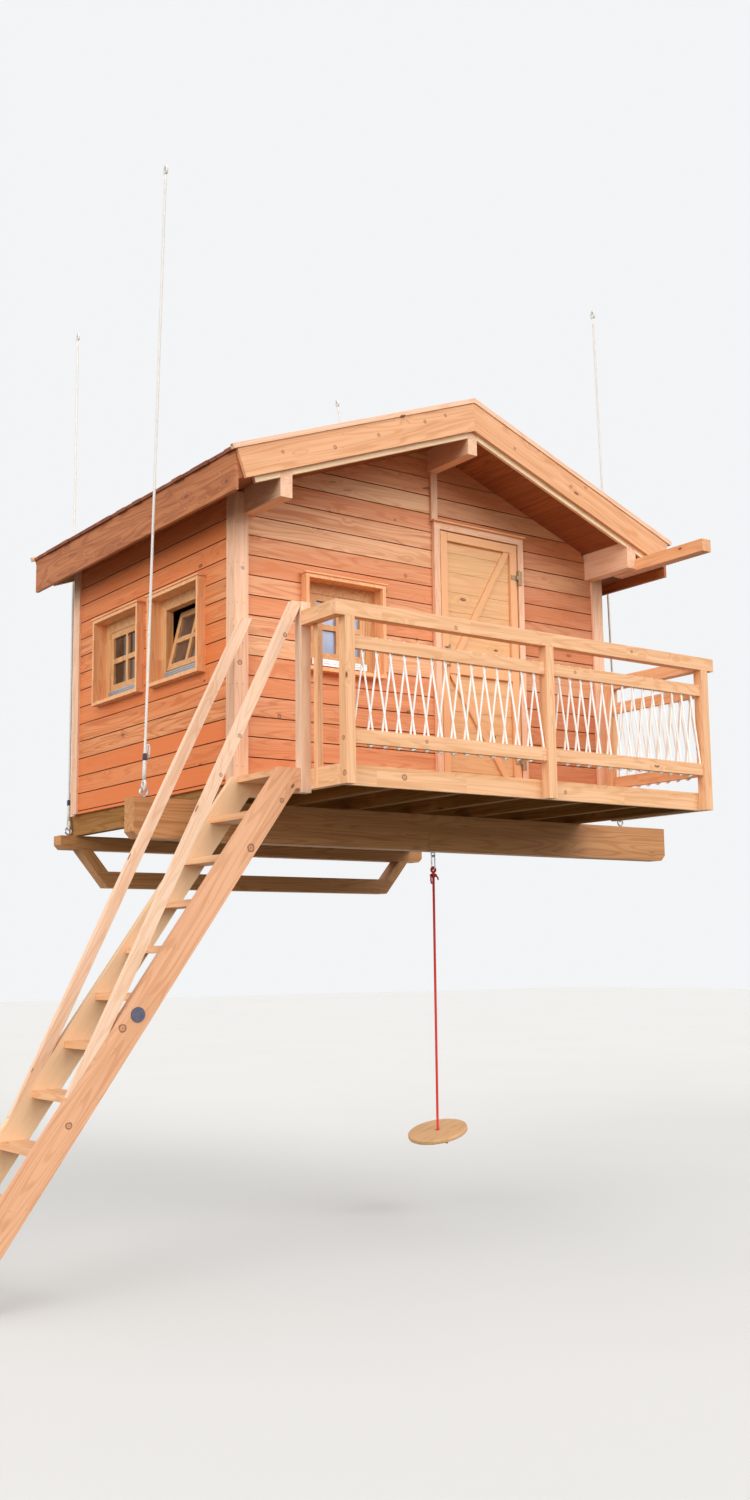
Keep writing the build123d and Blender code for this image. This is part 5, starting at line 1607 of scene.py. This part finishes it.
def add_lamps(scene):
    """Two wide soft suns: one from the front and one from the left."""
    for name, place_at, target, strength, spread in (
        ("key_light", (3.5, -12.5, 7.5), (0.0, -1.5, 0.5), 2.0, 0.85),
        ("fill_light", (-12.0, -5.0, 3.5), (-0.5, -1.5, 0.0), 2.0, 0.85),
    ):
        lamp = bpy.data.lights.new(name, "SUN")
        lamp.energy = strength
        lamp.angle = spread
        thing = bpy.data.objects.new(name, lamp)
        scene.collection.objects.link(thing)
        start, end = np.array(place_at), np.array(target)
        back = (start - end) / np.linalg.norm(start - end)
        right = np.cross((0, 0, 1), back)
        right /= np.linalg.norm(right)
        stand(thing, right, np.cross(back, right), back, start)


def add_camera(scene):
    """The photograph's camera."""
    yaw, pitch, roll = CAMERA_YAW, CAMERA_PITCH, CAMERA_ROLL
    ahead = np.array((sin(yaw) * cos(pitch), cos(yaw) * cos(pitch), sin(pitch)))
    level = np.array((cos(yaw), -sin(yaw), 0.0))
    upright = np.cross(level, ahead)
    right = level * cos(roll) + upright * sin(roll)
    up = -level * sin(roll) + upright * cos(roll)
    lens = bpy.data.cameras.new("photo_camera")
    lens.sensor_fit = "HORIZONTAL"
    lens.sensor_width = CAMERA_SENSOR_MM
    lens.lens = CAMERA_LENS_MM
    lens.clip_end = 200.0
    camera = bpy.data.objects.new("photo_camera", lens)
    scene.collection.objects.link(camera)
    stand(camera, right, up, -ahead, CAMERA_PLACE)
    scene.camera = camera


class TREEHOUSE_OT_stage(bpy.types.Operator):
    """Pale floor, soft studio light, pale background and the camera"""

    bl_idname = "treehouse.stage"
    bl_label = "Stage, light and camera"

    def execute(self, context):
        add_floor(context.scene)
        add_world(context.scene)
        add_lamps(context.scene)
        add_camera(context.scene)
        context.scene.view_settings.view_transform = "Standard"
        return {"FINISHED"}


OPERATORS = (
    TREEHOUSE_OT_stage,
    TREEHOUSE_OT_timbers,
    TREEHOUSE_OT_walls,
    TREEHOUSE_OT_roof,
    TREEHOUSE_OT_door,
    TREEHOUSE_OT_drip_boards,
    TREEHOUSE_OT_screws,
    TREEHOUSE_OT_lacing,
    TREEHOUSE_OT_hanging_ropes,
    TREEHOUSE_OT_swing,
)


class TREEHOUSE_PT_panel(bpy.types.Panel):
    """Lists the pieces and their sizes and colours"""

    bl_idname = "TREEHOUSE_PT_panel"
    bl_label = "Tree house"
    bl_space_type = "VIEW_3D"
    bl_region_type = "UI"
    bl_category = "Tree house"

    def draw(self, context):
        for operator in OPERATORS:
            self.layout.operator(operator.bl_idname)
        for group in (sizes(), colours()):
            column = self.layout.column(align=True)
            for name in group.__annotations__:
                column.prop(group, name)


CLASSES = (TreeHouseSizes, TreeHouseColours, *OPERATORS, TREEHOUSE_PT_panel)


def register():
    """Adds the classes, and the sizes and colours to the scene."""
    for item in CLASSES:
        bpy.utils.register_class(item)
    bpy.types.Scene.tree_house_sizes = bpy.props.PointerProperty(type=TreeHouseSizes)
    bpy.types.Scene.tree_house_colours = bpy.props.PointerProperty(type=TreeHouseColours)


def unregister():
    """Takes out what register adds."""
    del bpy.types.Scene.tree_house_colours
    del bpy.types.Scene.tree_house_sizes
    for item in reversed(CLASSES):
        bpy.utils.unregister_class(item)


def main():
    """Makes everything."""
    register()
    for operator in OPERATORS:
        group, name = operator.bl_idname.split(".")
        getattr(getattr(bpy.ops, group), name)()
    bpy.context.view_layer.update()


if __name__ == "__main__":
    main()
